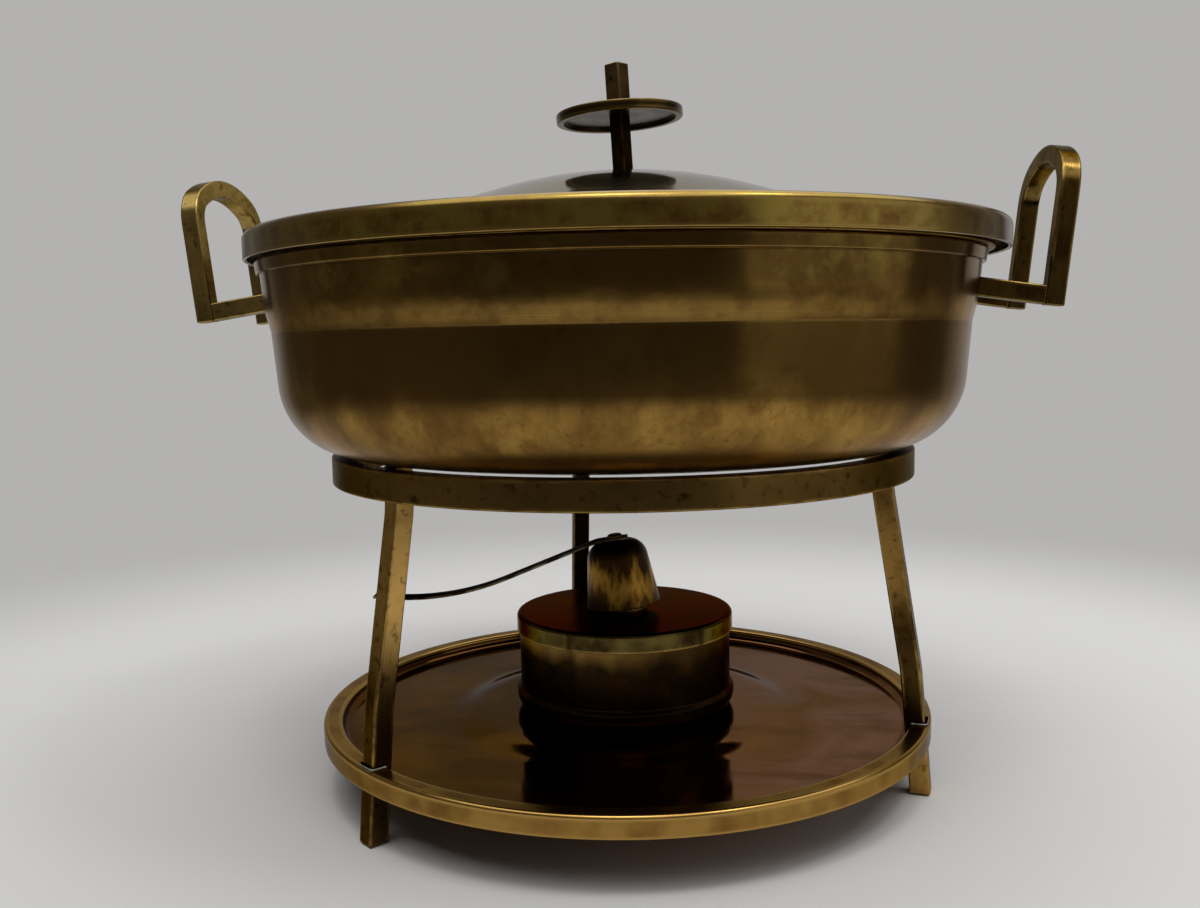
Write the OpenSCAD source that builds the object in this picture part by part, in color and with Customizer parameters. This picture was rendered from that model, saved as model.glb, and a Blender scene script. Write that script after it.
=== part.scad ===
// Chafing dish in brass: a lidded pan on a three-legged stand, with a tray and a spirit burner.
// Millimetres, +Z up. The origin is on the table under the centre of the ring.
// The two handles lie along X, and -Y is the front.

/* [Pan] */
// Diameter over the band at the pan's rim
pan_rim_d = 253; // [240:1:270]
// Height of the pan from its flat bottom to the top of its rim
pan_h = 65.6; // [60:0.2:80]
// Height of the band round the rim
rim_band_h = 4.3; // [3:0.1:6]
// How far the rim band stands out from the wall
rim_lip = 1.2; // [0.6:0.1:2]
// Height of the crease above the pan's bottom
crease_h = 42.5; // [36:0.5:45]
// How far the crease lies inside the mouth
crease_in = 3.5; // [1:0.5:6]
// How far the wall draws in from the crease down to the round corner
wall_draw = 1.4; // [0.2:0.2:3]
// Radius of the corner between the wall and the bottom
pan_corner_r = 26; // [18:1:32]
// Thickness of the pan's sheet
pan_sheet = 1.5; // [1:0.1:2]

/* [Handles] */
// Thickness of the square handle bar
handle_bar = 6.2; // [5:0.1:7.4]
// Distance between the centre lines of a handle's two bars
handle_span = 51; // [46:1:64]
// Distance from the rim out to the centre line of the grip's feet
handle_out = 18; // [14:0.5:24]
// Height of the right grip's top above the middle of its foot
right_grip_h = 51.6; // [44:0.2:60]
// Height of the left grip's top above the middle of its foot
left_grip_h = 49.4; // [44:0.2:60]
// Angle at which the grip leans outwards
grip_lean_angle = 6.2; // [2:0.2:10]
// Rise of the grip's bowed top above its straight sides
grip_bow = 14.5; // [13.5:0.1:16.5]
// Centre line radius of the grip's two corners
grip_corner_r = 11; // [9:0.5:12]
// Diameter of the rivets that hold the bars
rivet_d = 3.2; // [2.5:0.1:3.6]
// Diameter of the rivets' heads inside the pan
rivet_head_d = 7; // [5.5:0.5:8]
// Thickness of the rivets' heads
rivet_head_t = 1.5; // [1:0.1:2.5]
// Gap between the rivets' heads and the lid's bezel above them
rivet_clear = 2.9; // [2:0.1:3.4]
// How far the rivets reach into the bars
rivet_reach = 7; // [4:0.5:9]

/* [Lid] */
// How far the lid's edge stands out past the pan's rim
lid_overhang = 5.3; // [4:0.1:8]
// Height of the lid's band, from its lower edge to the flat shoulder
lid_band_h = 9.2; // [7:0.2:13]
// Radius of the corner between the band and the shoulder
lid_corner_r = 2.5; // [2:0.1:5]
// Width of the shoulder, from the lid's edge to the foot of the crown
lid_shoulder_w = 21.7; // [18:0.1:30]
// Rise of the crown above the shoulder
lid_rise = 21.9; // [16:0.1:28]
// Radius of the top of the crown
lid_crown_r = 170; // [120:1:185]
// How far the loose lid sits off the pan's centre, towards the right handle
lid_slip = 2.1; // [0:0.1:3]
// Thickness of the lid's sheet
lid_sheet = 1.3; // [0.8:0.1:1.8]
// Thickness of the bezel under the lid
bezel_sheet = 1.2; // [0.8:0.1:1.8]
// How far the bezel reaches down into the pan
bezel_drop = 6; // [4:0.5:8]

/* [Finial] */
// Length of the square stem
stem_h = 38.3; // [30:0.1:50]
// Thickness of the stem above the disc
stem_bar = 6.2; // [6:0.1:9]
// How far the stem stands out past its neck, as a shoulder over the disc
stem_shoulder = 0.4; // [0.2:0.1:0.6]
// Angle at which the stem leans
stem_lean_angle = 3; // [0:0.5:4]
// Angle through which the square stem is turned
stem_turn_angle = 56; // [0:1:90]
// Height of the disc's underside above the crown
disc_h = 18.4; // [14:0.1:22]
// Diameter of the disc
disc_d = 45; // [35:1:60]
// Height of the disc's edge
disc_t = 3.4; // [2.6:0.1:5]
// Depth of the dish in the disc's underside
disc_dish = 1.4; // [0.6:0.1:1.8]
// Width of the lip round the dish
disc_lip = 2.5; // [1.5:0.1:5]
// Radius of the disc's rounded edges
disc_edge_r = 0.6; // [0.3:0.1:1]
// Diameter of the screw under the stem
stem_screw_d = 3; // [2:0.1:3.2]
// How far the screw reaches up into the stem
stem_screw_reach = 8; // [6:0.5:9]
// Diameter of the screw's head
screw_head_d = 6.4; // [5:0.1:9]
// Thickness of the screw's head
screw_head_t = 2.2; // [1.5:0.1:3]
// Diameter of the washer under the crown
washer_d = 14; // [11:0.5:20]
// Thickness of the washer
washer_t = 1.2; // [0.8:0.1:2]

/* [Stand] */
// Height of the legs' tops above the table
stand_h = 118.8; // [112:0.2:150]
// Height of the ring's bar
ring_h = 9.5; // [7:0.5:11]
// Thickness of the ring's bar
ring_t = 6.4; // [4:0.2:9]
// How far the ring's inside lies outside the pan's flat bottom
ring_past = 2.8; // [1.5:0.1:5]
// How far the legs stand up past the ring
leg_proud = 0.2; // [0.1:0.1:1]
// Thickness of the square leg bar
leg_bar = 6.9; // [5:0.1:8]
// Direction of the rear leg
rear_leg_angle = 107; // [95:1:115]
// Length of a leg's upright top, brazed to the ring
leg_top_run = 10.8; // [9:0.2:16]
// Slope of the legs between the upright top and the knee
leg_slope_angle = 9; // [6:0.5:12]
// Slope of the legs below the knee
foot_slope_angle = 4.8; // [0:0.2:5.6]
// Height of the knee above the table
knee_h = 41.1; // [36:0.1:60]
// Radius of the legs' bends
leg_bend_r = 40; // [20:1:60]

/* [Tray] */
// Height of the tray's lower edge above the table
tray_h = 17.5; // [14:0.1:24]
// Height of the tray's rim
tray_rim_h = 7.1; // [6:0.1:9]
// Width of the rim's top
tray_rim_w = 6.8; // [6:0.1:9]
// Radius of the rim's rounded edges
tray_rim_r = 1.2; // [1.1:0.1:2]
// Depth of the tray's floor below the rim's top
tray_well = 4; // [3:0.1:4.6]
// Radius of the cove between the rim's wall and the floor
tray_cove_r = 2.5; // [1:0.1:3]
// Diameter of the flat top of the boss that carries the burner
tray_boss_d = 92; // [84:1:110]
// Width of the slope round the boss
tray_boss_run = 30; // [15:1:34]
// Height of the boss above the tray's floor
tray_boss_h = 2; // [1:0.1:3]
// Thickness of the tray's sheet
tray_sheet = 1; // [0.8:0.1:1]

/* [Burner] */
// Diameter of the burner's cover
burner_d = 79.6; // [70:0.2:90]
// Height of the burner from its base to the top of its cover
burner_h = 34.9; // [32:0.1:44]
// Radius of the drum's rounded lower edge
burner_round = 5; // [4:0.5:8]
// How far the bead round the base stands out past the drum
burner_bead = 1.4; // [0.8:0.1:3]
// Height of the bead
burner_bead_h = 1.5; // [0.8:0.1:3]
// Thickness of the drum's and the cover's sheet
burner_sheet = 0.7; // [0.6:0.1:1.2]
// Height of the cover, from the lower edge of its skirt to its top
cover_h = 6.8; // [5:0.1:9]
// Radius of the cover's rounded edge
cover_round = 1.4; // [1.3:0.1:1.6]
// Depth of the wadding in the drum
wadding_h = 17; // [10:1:20]
// Gap between the wadding and the wick tube
wadding_gap = 1.2; // [0.6:0.1:3]

/* [Wick] */
// Outer diameter of the wick tube
wick_tube_d = 11.2; // [9:0.2:13]
// Thickness of the wick tube's wall
wick_tube_wall = 0.8; // [0.6:0.1:1.2]
// Height of the wick tube above the cover
wick_tube_h = 10.5; // [7:0.5:12]
// How far the wick tube reaches down below the top of the cover
wick_tube_drop = 18; // [12:1:22]
// Diameter of the wick tube's collar
wick_collar_d = 17; // [15:0.5:20]
// Thickness of the wick tube's collar
wick_collar_t = 1.2; // [0.8:0.1:2]
// How far the wick stands out of the tube
wick_out = 3.5; // [1:0.5:5]
// How far the wick hangs out below the tube
wick_hang = 5; // [1:0.5:7]

/* [Snuffer] */
// Diameter of the cap at its open end
cap_d = 27.2; // [25:0.2:32]
// Diameter of the cap at the foot of its rounded top
cap_top_d = 22.6; // [20:0.2:24]
// Height of the cap
cap_h = 24; // [23:0.5:30]
// Radius of the cap's rounded top edge
cap_round = 7; // [5:0.5:8]
// Thickness of the cap's sheet
cap_sheet = 1; // [0.6:0.1:1.4]
// Angle at which the cap leans under its handle's weight
cap_lean_angle = 7; // [0:0.5:8]
// Direction of the snuffer's handle
snuffer_angle = 186; // [175:1:195]
// Thickness of the handle's strip
strip_t = 0.9; // [0.8:0.1:2]
// Width of the handle's strip
strip_w = 7; // [5:0.5:8]
// How far the flat end reaches past the middle of the cap
strip_past = 4.8; // [3.5:0.1:6]
// Radius of the bend where the strip leaves the cap
strip_bend_r = 18; // [10:1:24]
// Slope of the strip
strip_slope_angle = 14.5; // [10:0.5:20]
// Length of the strip's straight slope
strip_run = 34.5; // [24:0.5:38]
// Radius of the strip's upward curve
strip_curve_r = 96.5; // [70:0.5:110]
// Angle of the strip's upward curve
strip_curve_angle = 26.5; // [18:0.5:30]
// Width of the bevel along the strip's edges
strip_bevel = 0.15; // [0.1:0.05:0.3]
// Length of the strip's straight tip
strip_tip = 5.3; // [2:0.1:8]
// Diameter of the rivet through the strip
snuffer_rivet_d = 2.4; // [1.6:0.1:2.8]
// Diameter of the rivet's heads
snuffer_rivet_head_d = 5.6; // [3.6:0.1:6]
// Thickness of the rivet's heads
snuffer_rivet_head_t = 1.3; // [0.6:0.1:1.5]
// Radius of the rounded edge of the rivet's outer head
snuffer_rivet_round = 0.9; // [0.3:0.1:1]

/* [Fits] */
// Gap between brazed or riveted pieces
solder_gap = 0.05; // [0.02:0.01:0.1]
// Gap under a piece that rests on another and lifts off
rest_gap = 0.2; // [0.1:0.05:0.4]
// Gap between the drum and the cover's skirt
cover_gap = 0.3; // [0.3:0.05:0.8]
// Gap between the pan's mouth and the lid's bezel
bezel_gap = 0.6; // [0.4:0.05:1]
// Width of the bevel along the edges of the bars
bar_bevel = 0.5; // [0.2:0.1:1]
// How far a bar draws in on each side where it is bent
bend_draw = 0.01; // [0.01:0.01:0.1]
// How far the straight part of a bar runs on into its bend
bend_lap = 0.05; // [0.04:0.01:0.1]

/* [Hidden] */
$fn = 240;
cut = 1;
leg_count = 3;
far = 400;

// Pan
pan_z = stand_h + rest_gap;
rim_r = pan_rim_d / 2;
mouth_r = rim_r - rim_lip;
crease_r = mouth_r - crease_in;
wall_r = crease_r - wall_draw;
flat_r = wall_r - pan_corner_r;
mouth_slope = crease_in / (pan_h - crease_h);
function wall_at(h) = mouth_r - (pan_h - h) * mouth_slope;

// Handles
handle_r = rim_r + handle_out;
handle_h = pan_h - bezel_drop - rivet_clear - rivet_head_d / 2;
handle_z = pan_z + handle_h;
bar_slope_a = atan(mouth_slope);
grip_q = handle_span / 2 - grip_corner_r;
grip_k = grip_bow - grip_corner_r;
grip_c = (grip_q * grip_q - grip_k * grip_k) / (2 * grip_k);
grip_crown_r = grip_c + grip_bow;
grip_corner_a = atan2(grip_c, grip_q);
grip_crown_a = 180 - 2 * grip_corner_a;
rivet_y = handle_span / 2;
rivet_wall_x = sqrt(pow(wall_at(handle_h), 2) - pow(rivet_y, 2));
grip_foot_z = handle_z - (handle_r - rivet_wall_x) * mouth_slope;
// Length of a rivet through the wall, measured along the bar's slope
wall_in_r = wall_at(handle_h) - pan_sheet;
rivet_c = cos(bar_slope_a);
rivet_q = sin(bar_slope_a) * mouth_slope;
rivet_e = rivet_c * rivet_c - rivet_q * rivet_q;
rivet_k = rivet_wall_x * rivet_c + wall_in_r * rivet_q;
rivet_g = pow(wall_at(handle_h), 2) - pow(wall_in_r, 2);
rivet_wall = (rivet_k - sqrt(rivet_k * rivet_k - rivet_e * rivet_g)) / rivet_e;

// Lid
lid_r = rim_r + lid_overhang;
lid_z = pan_z + pan_h + rest_gap;
shoulder_z = lid_z + lid_band_h;
crown_z = shoulder_z + lid_rise;
ogee_r = lid_r - lid_shoulder_w;
ogee_a = 2 * atan(lid_rise / ogee_r);
flare_r = (lid_rise * lid_rise + ogee_r * ogee_r) / (2 * lid_rise) - lid_crown_r;
bezel_r = wall_at(pan_h - bezel_drop) - pan_sheet - bezel_gap - lid_slip;
stem_neck = stem_bar - 2 * stem_shoulder;
crown_in_r = lid_crown_r - lid_sheet;
washer_sag = crown_in_r - sqrt(pow(crown_in_r, 2) - pow(washer_d / 2, 2));
washer_z = crown_z - lid_sheet - washer_sag - washer_t;

// Stand
ring_z = stand_h - leg_proud - ring_h;
ring_in_r = flat_r + ring_past;
leg_step = 360 / leg_count;
leg_r = sqrt(pow(ring_in_r, 2) - pow(leg_bar / 2, 2)) - leg_bar / 2 - solder_gap;
knee_turn = leg_slope_angle - foot_slope_angle;
leg_run_h = stand_h - leg_top_run - knee_h - leg_bend_r * (2 * sin(leg_slope_angle) - sin(foot_slope_angle));
leg_run = leg_run_h / cos(leg_slope_angle);
leg_bends_w = leg_bend_r * (1 - 2 * cos(leg_slope_angle) + cos(foot_slope_angle));
knee_r = leg_r + leg_run * sin(leg_slope_angle) + leg_bends_w;
foot_run = knee_h / cos(foot_slope_angle) + leg_bar;

// Tray: its band closes round the outside of the legs
tray_leg_r = knee_r + (knee_h - tray_h) * tan(foot_slope_angle) + leg_bar / 2 / cos(foot_slope_angle);
tray_r = tray_leg_r + solder_gap + tray_sheet;
tray_top = tray_h + tray_rim_h;
tray_floor = tray_top - tray_well;

// Burner
burner_z = tray_floor + tray_boss_h + rest_gap;
cover_r = burner_d / 2;
drum_r = cover_r - burner_sheet - cover_gap;
drum_h = burner_h - burner_sheet - rest_gap;
bead_r = drum_r + burner_bead;
bead_top = burner_round + burner_bead_h;
cover_z = burner_z + burner_h;
wick_r = wick_tube_d / 2 - wick_tube_wall - solder_gap;

// Snuffer
cap_r = cap_d / 2;
cap_z = cover_z + rest_gap;
strip_mid = cap_h + strip_t / 2;
strip_flat = strip_past + cap_top_d / 2 - cap_round;

// Bent bars: a section runs up Z, and each length carries the next one on its end

module section(t, w, b) {
    polygon([
        [-t / 2 + b, -w / 2], [t / 2 - b, -w / 2], [t / 2, -w / 2 + b], [t / 2, w / 2 - b],
        [t / 2 - b, w / 2], [-t / 2 + b, w / 2], [-t / 2, w / 2 - b], [-t / 2, -w / 2 + b]
    ]);
}

module run(t, w, b, length) {
    translate([0, 0, -bend_lap]) linear_extrude(length + 2 * bend_lap) section(t, w, b);
    translate([0, 0, length]) children();
}

// A bend of a degrees towards +X, or towards -X where a is negative
module bend(t, w, b, r, a) {
    side = a < 0 ? -1 : 1;
    translate([side * r, 0, 0])
        rotate([90, 0, 90 + side * 90])
            rotate_extrude(angle = abs(a))
                translate([r, 0]) section(t - 2 * bend_draw, w - 2 * bend_draw, b);
    translate([side * r, 0, 0]) rotate([0, a, 0]) translate([-side * r, 0, 0]) children();
}

// A half section with a rounded outer top corner, from the axis out to radius r
module round_half(r, h, corner) {
    square([r, h - corner]);
    square([r - corner, h]);
    translate([r - corner, h - corner]) intersection() {
        circle(corner);
        square(corner);
    }
}

// A band with two rounded top corners
module round_band(w, h, corner) {
    square([w, h - corner]);
    translate([corner, 0]) square([w - 2 * corner, h]);
    translate([corner, h - corner]) circle(corner);
    translate([w - corner, h - corner]) circle(corner);
}

// Lid

// The filled half section of the lid, its outer faces moved inwards by inset
module lid_fill(inset) {
    crown = lid_crown_r - inset;
    flare = flare_r + inset;
    turn_r = crown * sin(ogee_a);
    turn_z = crown_z - lid_crown_r + crown * cos(ogee_a);
    intersection() {
        translate([0, crown_z - lid_crown_r]) circle(crown);
        translate([0, lid_z]) square([turn_r, lid_band_h + lid_rise]);
    }
    difference() {
        translate([turn_r, lid_z]) square([ogee_r - turn_r, turn_z - lid_z]);
        translate([ogee_r, shoulder_z + flare_r]) circle(flare);
    }
    translate([0, lid_z]) round_half(lid_r - inset, lid_band_h - inset, lid_corner_r - inset);
}

module on_lid() {
    translate([lid_slip, 0, 0]) children();
}

module lid_shell() {
    color("goldenrod") on_lid() difference() {
        rotate_extrude() difference() {
            lid_fill(0);
            lid_fill(lid_sheet);
        }
        translate([0, 0, shoulder_z]) cylinder(d = stem_screw_d + 2 * solder_gap, h = lid_rise + cut);
    }
}

module lid_bezel() {
    color("darkgoldenrod") on_lid() rotate_extrude() {
        translate([bezel_r - bezel_sheet, lid_z - bezel_drop])
            square([bezel_sheet, bezel_drop + lid_band_h - lid_sheet]);
        translate([bezel_r - bezel_sheet, lid_z])
            square([rim_r - bezel_r + bezel_sheet, bezel_sheet]);
    }
}

// Finial

module on_stem() {
    translate([0, 0, crown_z]) rotate([0, -stem_lean_angle, 0]) children();
}

module finial_stem() {
    color("goldenrod") on_lid() difference() {
        on_stem() rotate([0, 0, stem_turn_angle]) {
            translate([0, 0, -cut]) linear_extrude(disc_h + disc_t + 2 * cut)
                section(stem_neck, stem_neck, bar_bevel);
            translate([0, 0, disc_h + disc_t]) linear_extrude(stem_h - disc_h - disc_t)
                section(stem_bar, stem_bar, bar_bevel);
        }
        translate([-far / 2, -far / 2, crown_z - far]) cube(far);
        translate([0, 0, crown_z - cut])
            cylinder(d = stem_screw_d + 2 * solder_gap, h = stem_screw_reach + 2 * cut);
    }
}

module finial_disc() {
    color("goldenrod") on_lid() on_stem() difference() {
        translate([0, 0, disc_h]) rotate_extrude() difference() {
            union() {
                square([disc_d / 2 - disc_edge_r, disc_t]);
                translate([0, disc_edge_r]) square([disc_d / 2, disc_t - 2 * disc_edge_r]);
                translate([disc_d / 2 - disc_edge_r, disc_edge_r]) circle(disc_edge_r);
                translate([disc_d / 2 - disc_edge_r, disc_t - disc_edge_r]) circle(disc_edge_r);
            }
            translate([0, -cut]) square([disc_d / 2 - disc_lip, disc_dish + cut]);
        }
        rotate([0, 0, stem_turn_angle]) linear_extrude(disc_h + disc_t + cut)
            square(stem_neck + 2 * solder_gap, center = true);
    }
}

module finial_washer() {
    color("darkgoldenrod") on_lid() translate([0, 0, washer_z]) difference() {
        cylinder(d = washer_d, h = washer_t);
        translate([0, 0, -cut]) cylinder(d = stem_screw_d + 2 * solder_gap, h = washer_t + 2 * cut);
    }
}

module finial_screw() {
    color("darkgoldenrod") on_lid() {
        translate([0, 0, washer_z - screw_head_t]) cylinder(d = screw_head_d, h = screw_head_t);
        translate([0, 0, washer_z - screw_head_t])
            cylinder(d = stem_screw_d, h = crown_z + stem_screw_reach - washer_z + screw_head_t);
    }
}

// Pan

// The filled half section of the pan, its outer faces moved inwards by inset, its mouth raised by up
module pan_fill(inset, up) {
    polygon([
        [0, inset], [flat_r, inset], [flat_r, pan_corner_r], [wall_r - inset, pan_corner_r],
        [crease_r - inset, crease_h], [wall_at(pan_h + up) - inset, pan_h + up], [0, pan_h + up]
    ]);
    translate([flat_r, pan_corner_r]) intersection() {
        circle(pan_corner_r - inset);
        translate([0, -pan_corner_r]) square(pan_corner_r);
    }
}

module pan_hollow(inset) {
    translate([0, 0, pan_z]) rotate_extrude() pan_fill(inset, cut);
}

// A bar's place on the right-hand side: it leaves the wall square, at y, and slopes down outwards
module on_bar(y) {
    translate([rivet_wall_x, y, handle_z]) rotate([0, 90 + bar_slope_a, 0]) children();
}

// The shanks of one side's rivets, from inside the wall out into the bars
module rivet_pins(d, inside, outside) {
    for (y = [-rivet_y, rivet_y])
        on_bar(y) translate([0, 0, -inside]) cylinder(d = d, h = inside + outside);
}

module both_sides() {
    children();
    rotate([0, 0, 180]) children();
}

module pan_shell() {
    color("peru") difference() {
        translate([0, 0, pan_z]) rotate_extrude() difference() {
            union() {
                pan_fill(0, 0);
                polygon([
                    [0, pan_h - rim_band_h], [wall_at(pan_h - rim_band_h) + rim_lip, pan_h - rim_band_h],
                    [rim_r, pan_h], [0, pan_h]
                ]);
            }
            pan_fill(pan_sheet, cut);
        }
        both_sides() rivet_pins(rivet_d + 2 * solder_gap, rivet_reach, rivet_reach);
    }
}

// Handles

module on_grip() {
    translate([handle_r, 0, grip_foot_z]) rotate([0, grip_lean_angle, 0]) children();
}

// The grip on the right-hand side, h high
module handle_arch(h) {
    w = handle_bar;
    b = bar_bevel;
    side = h - grip_bow;
    on_grip() translate([0, -handle_span / 2, bend_lap - w / 2]) rotate([0, 0, 90])
        run(w, w, b, side - bend_lap)
        bend(w, w, b, grip_corner_r, grip_corner_a)
        run(w, w, b, 0)
        bend(w, w, b, grip_crown_r, grip_crown_a)
        run(w, w, b, 0)
        bend(w, w, b, grip_corner_r, grip_corner_a)
        run(w, w, b, side - bend_lap);
}

// The bar at y on the right-hand side, cut to the wall of the pan and to the foot of the grip
module handle_bar_at(y) {
    difference() {
        on_bar(y) translate([0, 0, -pan_sheet - handle_bar])
            linear_extrude(handle_r) section(handle_bar, handle_bar, bar_bevel);
        translate([0, 0, pan_z]) rotate_extrude() pan_fill(-solder_gap, cut);
        on_grip() translate([-handle_bar / 2, -far / 2, -far / 2]) cube(far);
        rivet_pins(rivet_d + 2 * solder_gap, rivet_reach, rivet_reach + solder_gap);
    }
}

module right_handle_arch() {
    color("goldenrod") handle_arch(right_grip_h);
}

module left_handle_arch() {
    color("goldenrod") rotate([0, 0, 180]) handle_arch(left_grip_h);
}

module right_handle_bar_front() {
    color("goldenrod") handle_bar_at(-rivet_y);
}

module right_handle_bar_back() {
    color("goldenrod") handle_bar_at(rivet_y);
}

module left_handle_bar_front() {
    color("goldenrod") rotate([0, 0, 180]) handle_bar_at(rivet_y);
}

module left_handle_bar_back() {
    color("goldenrod") rotate([0, 0, 180]) handle_bar_at(-rivet_y);
}

module handle_rivets() {
    color("darkgoldenrod") both_sides() {
        rivet_pins(rivet_d, rivet_wall + rivet_head_t, rivet_reach);
        intersection() {
            rivet_pins(rivet_head_d, rivet_wall + rivet_head_t, 0);
            pan_hollow(pan_sheet + solder_gap);
        }
    }
}

// Stand

module stand_ring() {
    color("goldenrod") rotate_extrude()
        translate([ring_in_r + ring_t / 2, ring_z + ring_h / 2]) section(ring_t, ring_h, bar_bevel);
}

// A leg of bar w in the direction a, its foot left long
module long_leg(a, w, b) {
    rotate([0, 0, a]) translate([leg_r, 0, stand_h - bend_lap]) rotate([180, 0, 0])
        run(w, w, b, leg_top_run - bend_lap)
        bend(w, w, b, leg_bend_r, leg_slope_angle)
        run(w, w, b, leg_run)
        bend(w, w, b, leg_bend_r, -knee_turn)
        run(w, w, b, foot_run);
}

module leg(a) {
    color("goldenrod") difference() {
        long_leg(a, leg_bar, bar_bevel);
        translate([-far / 2, -far / 2, -far]) cube(far);
    }
}

module leg_rear() {
    leg(rear_leg_angle);
}

module leg_front_left() {
    leg(rear_leg_angle + leg_step);
}

module leg_front_right() {
    leg(rear_leg_angle + 2 * leg_step);
}

module tray() {
    inner_w = tray_rim_w - 2 * tray_sheet;
    in_r = tray_r - tray_rim_w;
    boss_r = tray_boss_d / 2;
    boss_z = tray_floor + tray_boss_h;
    slope_r = boss_r + tray_boss_run;
    round_z = tray_top - tray_rim_r;
    color("darkgoldenrod") difference() {
        rotate_extrude() difference() {
            translate([0, tray_h]) round_half(tray_r, tray_rim_h, tray_rim_r);
            difference() {
                polygon([
                    [0, boss_z], [boss_r, boss_z], [slope_r, tray_floor], [in_r, tray_floor],
                    [in_r, round_z], [in_r + tray_rim_r, round_z], [in_r + tray_rim_r, tray_top + cut],
                    [0, tray_top + cut]
                ]);
                translate([in_r + tray_rim_r, round_z]) circle(tray_rim_r);
                difference() {
                    translate([in_r - tray_cove_r, tray_floor]) square(tray_cove_r);
                    translate([in_r - tray_cove_r, tray_floor + tray_cove_r]) circle(tray_cove_r);
                }
            }
            translate([in_r + tray_sheet, tray_h - cut])
                round_band(inner_w, tray_rim_h - tray_sheet + cut, tray_rim_r - tray_sheet);
            translate([0, -tray_sheet]) polygon([
                [0, boss_z], [boss_r, boss_z], [slope_r, tray_floor], [in_r + 2 * tray_sheet, tray_floor],
                [in_r + 2 * tray_sheet, tray_h - cut], [0, tray_h - cut]
            ]);
        }
        for (i = [1:leg_count])
            long_leg(rear_leg_angle + leg_step * i, leg_bar + 2 * solder_gap, bar_bevel);
    }
}

// Burner

// The half section of the drum's rounded base, its outer faces moved inwards by inset
module drum_base(inset) {
    base_r = bead_r - burner_round;
    translate([0, inset]) square([base_r, burner_round - inset]);
    translate([base_r, burner_round]) intersection() {
        circle(burner_round - inset);
        translate([0, -burner_round]) square(burner_round);
    }
}

// The half section of the drum's inside, its walls inset from the drum's outer faces
module drum_hollow(inset) {
    intersection() {
        union() {
            drum_base(inset);
            translate([0, burner_round]) square([bead_r, drum_h]);
        }
        square([drum_r - inset, drum_h + cut]);
    }
}

module burner_body() {
    color("sienna") translate([0, 0, burner_z]) rotate_extrude() difference() {
        union() {
            drum_base(0);
            polygon([
                [0, burner_round], [bead_r, burner_round], [bead_r, bead_top],
                [drum_r, bead_top + burner_bead], [0, bead_top + burner_bead]
            ]);
            translate([0, burner_round]) round_half(drum_r, drum_h - burner_round, burner_sheet / 2);
        }
        drum_hollow(burner_sheet);
    }
}

module burner_wadding() {
    color("linen") translate([0, 0, burner_z]) rotate_extrude() difference() {
        intersection() {
            drum_hollow(burner_sheet + solder_gap);
            square([drum_r, wadding_h]);
        }
        square([wick_tube_d / 2 + wadding_gap, wadding_h + cut]);
    }
}

module burner_cover() {
    color("sienna") translate([0, 0, cover_z - cover_h]) difference() {
        rotate_extrude() difference() {
            round_half(cover_r, cover_h, cover_round);
            translate([0, -cut]) round_half(cover_r - burner_sheet, cover_h - burner_sheet + cut,
                cover_round - burner_sheet);
        }
        cylinder(d = wick_tube_d + 2 * solder_gap, h = cover_h + cut);
    }
}

module wick_tube() {
    color("goldenrod") translate([0, 0, cover_z]) difference() {
        union() {
            translate([0, 0, -wick_tube_drop]) cylinder(d = wick_tube_d, h = wick_tube_drop + wick_tube_h);
            cylinder(d = wick_collar_d, h = wick_collar_t);
        }
        translate([0, 0, -wick_tube_drop - cut])
            cylinder(d = wick_tube_d - 2 * wick_tube_wall, h = wick_tube_drop + wick_tube_h + 2 * cut);
    }
}

module wick() {
    color("linen") translate([0, 0, cover_z - wick_tube_drop - wick_hang])
        cylinder(r = wick_r, h = wick_hang + wick_tube_drop + wick_tube_h + wick_out);
}

// Snuffer: it leans on the edge of its cap under the handle

module on_snuffer() {
    rotate([0, 0, snuffer_angle - 180]) translate([-cap_r, 0, cap_z]) rotate([0, -cap_lean_angle, 0])
        translate([cap_r, 0, 0]) children();
}

// The filled half section of the cap, its outer faces moved inwards by inset
module cap_fill(inset) {
    top_r = cap_top_d / 2;
    polygon([[0, 0], [cap_r - inset, 0], [top_r - inset, cap_h - cap_round], [0, cap_h - cap_round]]);
    square([top_r - cap_round, cap_h - inset]);
    translate([top_r - cap_round, cap_h - cap_round]) intersection() {
        circle(cap_round - inset);
        square(cap_round);
    }
}

module snuffer_cap() {
    color("goldenrod") on_snuffer() difference() {
        rotate_extrude() difference() {
            cap_fill(0);
            cap_fill(cap_sheet);
        }
        translate([0, 0, cap_h - cap_sheet - cut])
            cylinder(d = snuffer_rivet_d + 2 * solder_gap, h = cap_sheet + 2 * cut);
    }
}

module snuffer_handle() {
    t = strip_t;
    w = strip_w;
    b = strip_bevel;
    color("goldenrod") on_snuffer() difference() {
        translate([strip_past, 0, strip_mid]) rotate([180, 90, 0])
            run(t, w, b, strip_flat)
            bend(t, w, b, strip_bend_r, strip_slope_angle)
            run(t, w, b, strip_run)
            bend(t, w, b, strip_curve_r, -strip_curve_angle)
            run(t, w, b, strip_tip);
        translate([0, 0, cap_h - cut])
            cylinder(d = snuffer_rivet_d + 2 * solder_gap, h = strip_t + 2 * cut);
    }
}

module snuffer_rivet() {
    color("darkgoldenrod") on_snuffer() {
        translate([0, 0, cap_h - cap_sheet - snuffer_rivet_head_t])
            cylinder(d = snuffer_rivet_head_d, h = snuffer_rivet_head_t);
        translate([0, 0, cap_h - cap_sheet - snuffer_rivet_head_t])
            cylinder(d = snuffer_rivet_d, h = cap_sheet + strip_t + 2 * snuffer_rivet_head_t);
        translate([0, 0, cap_h + strip_t]) rotate_extrude()
            round_half(snuffer_rivet_head_d / 2, snuffer_rivet_head_t, snuffer_rivet_round);
    }
}

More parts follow.
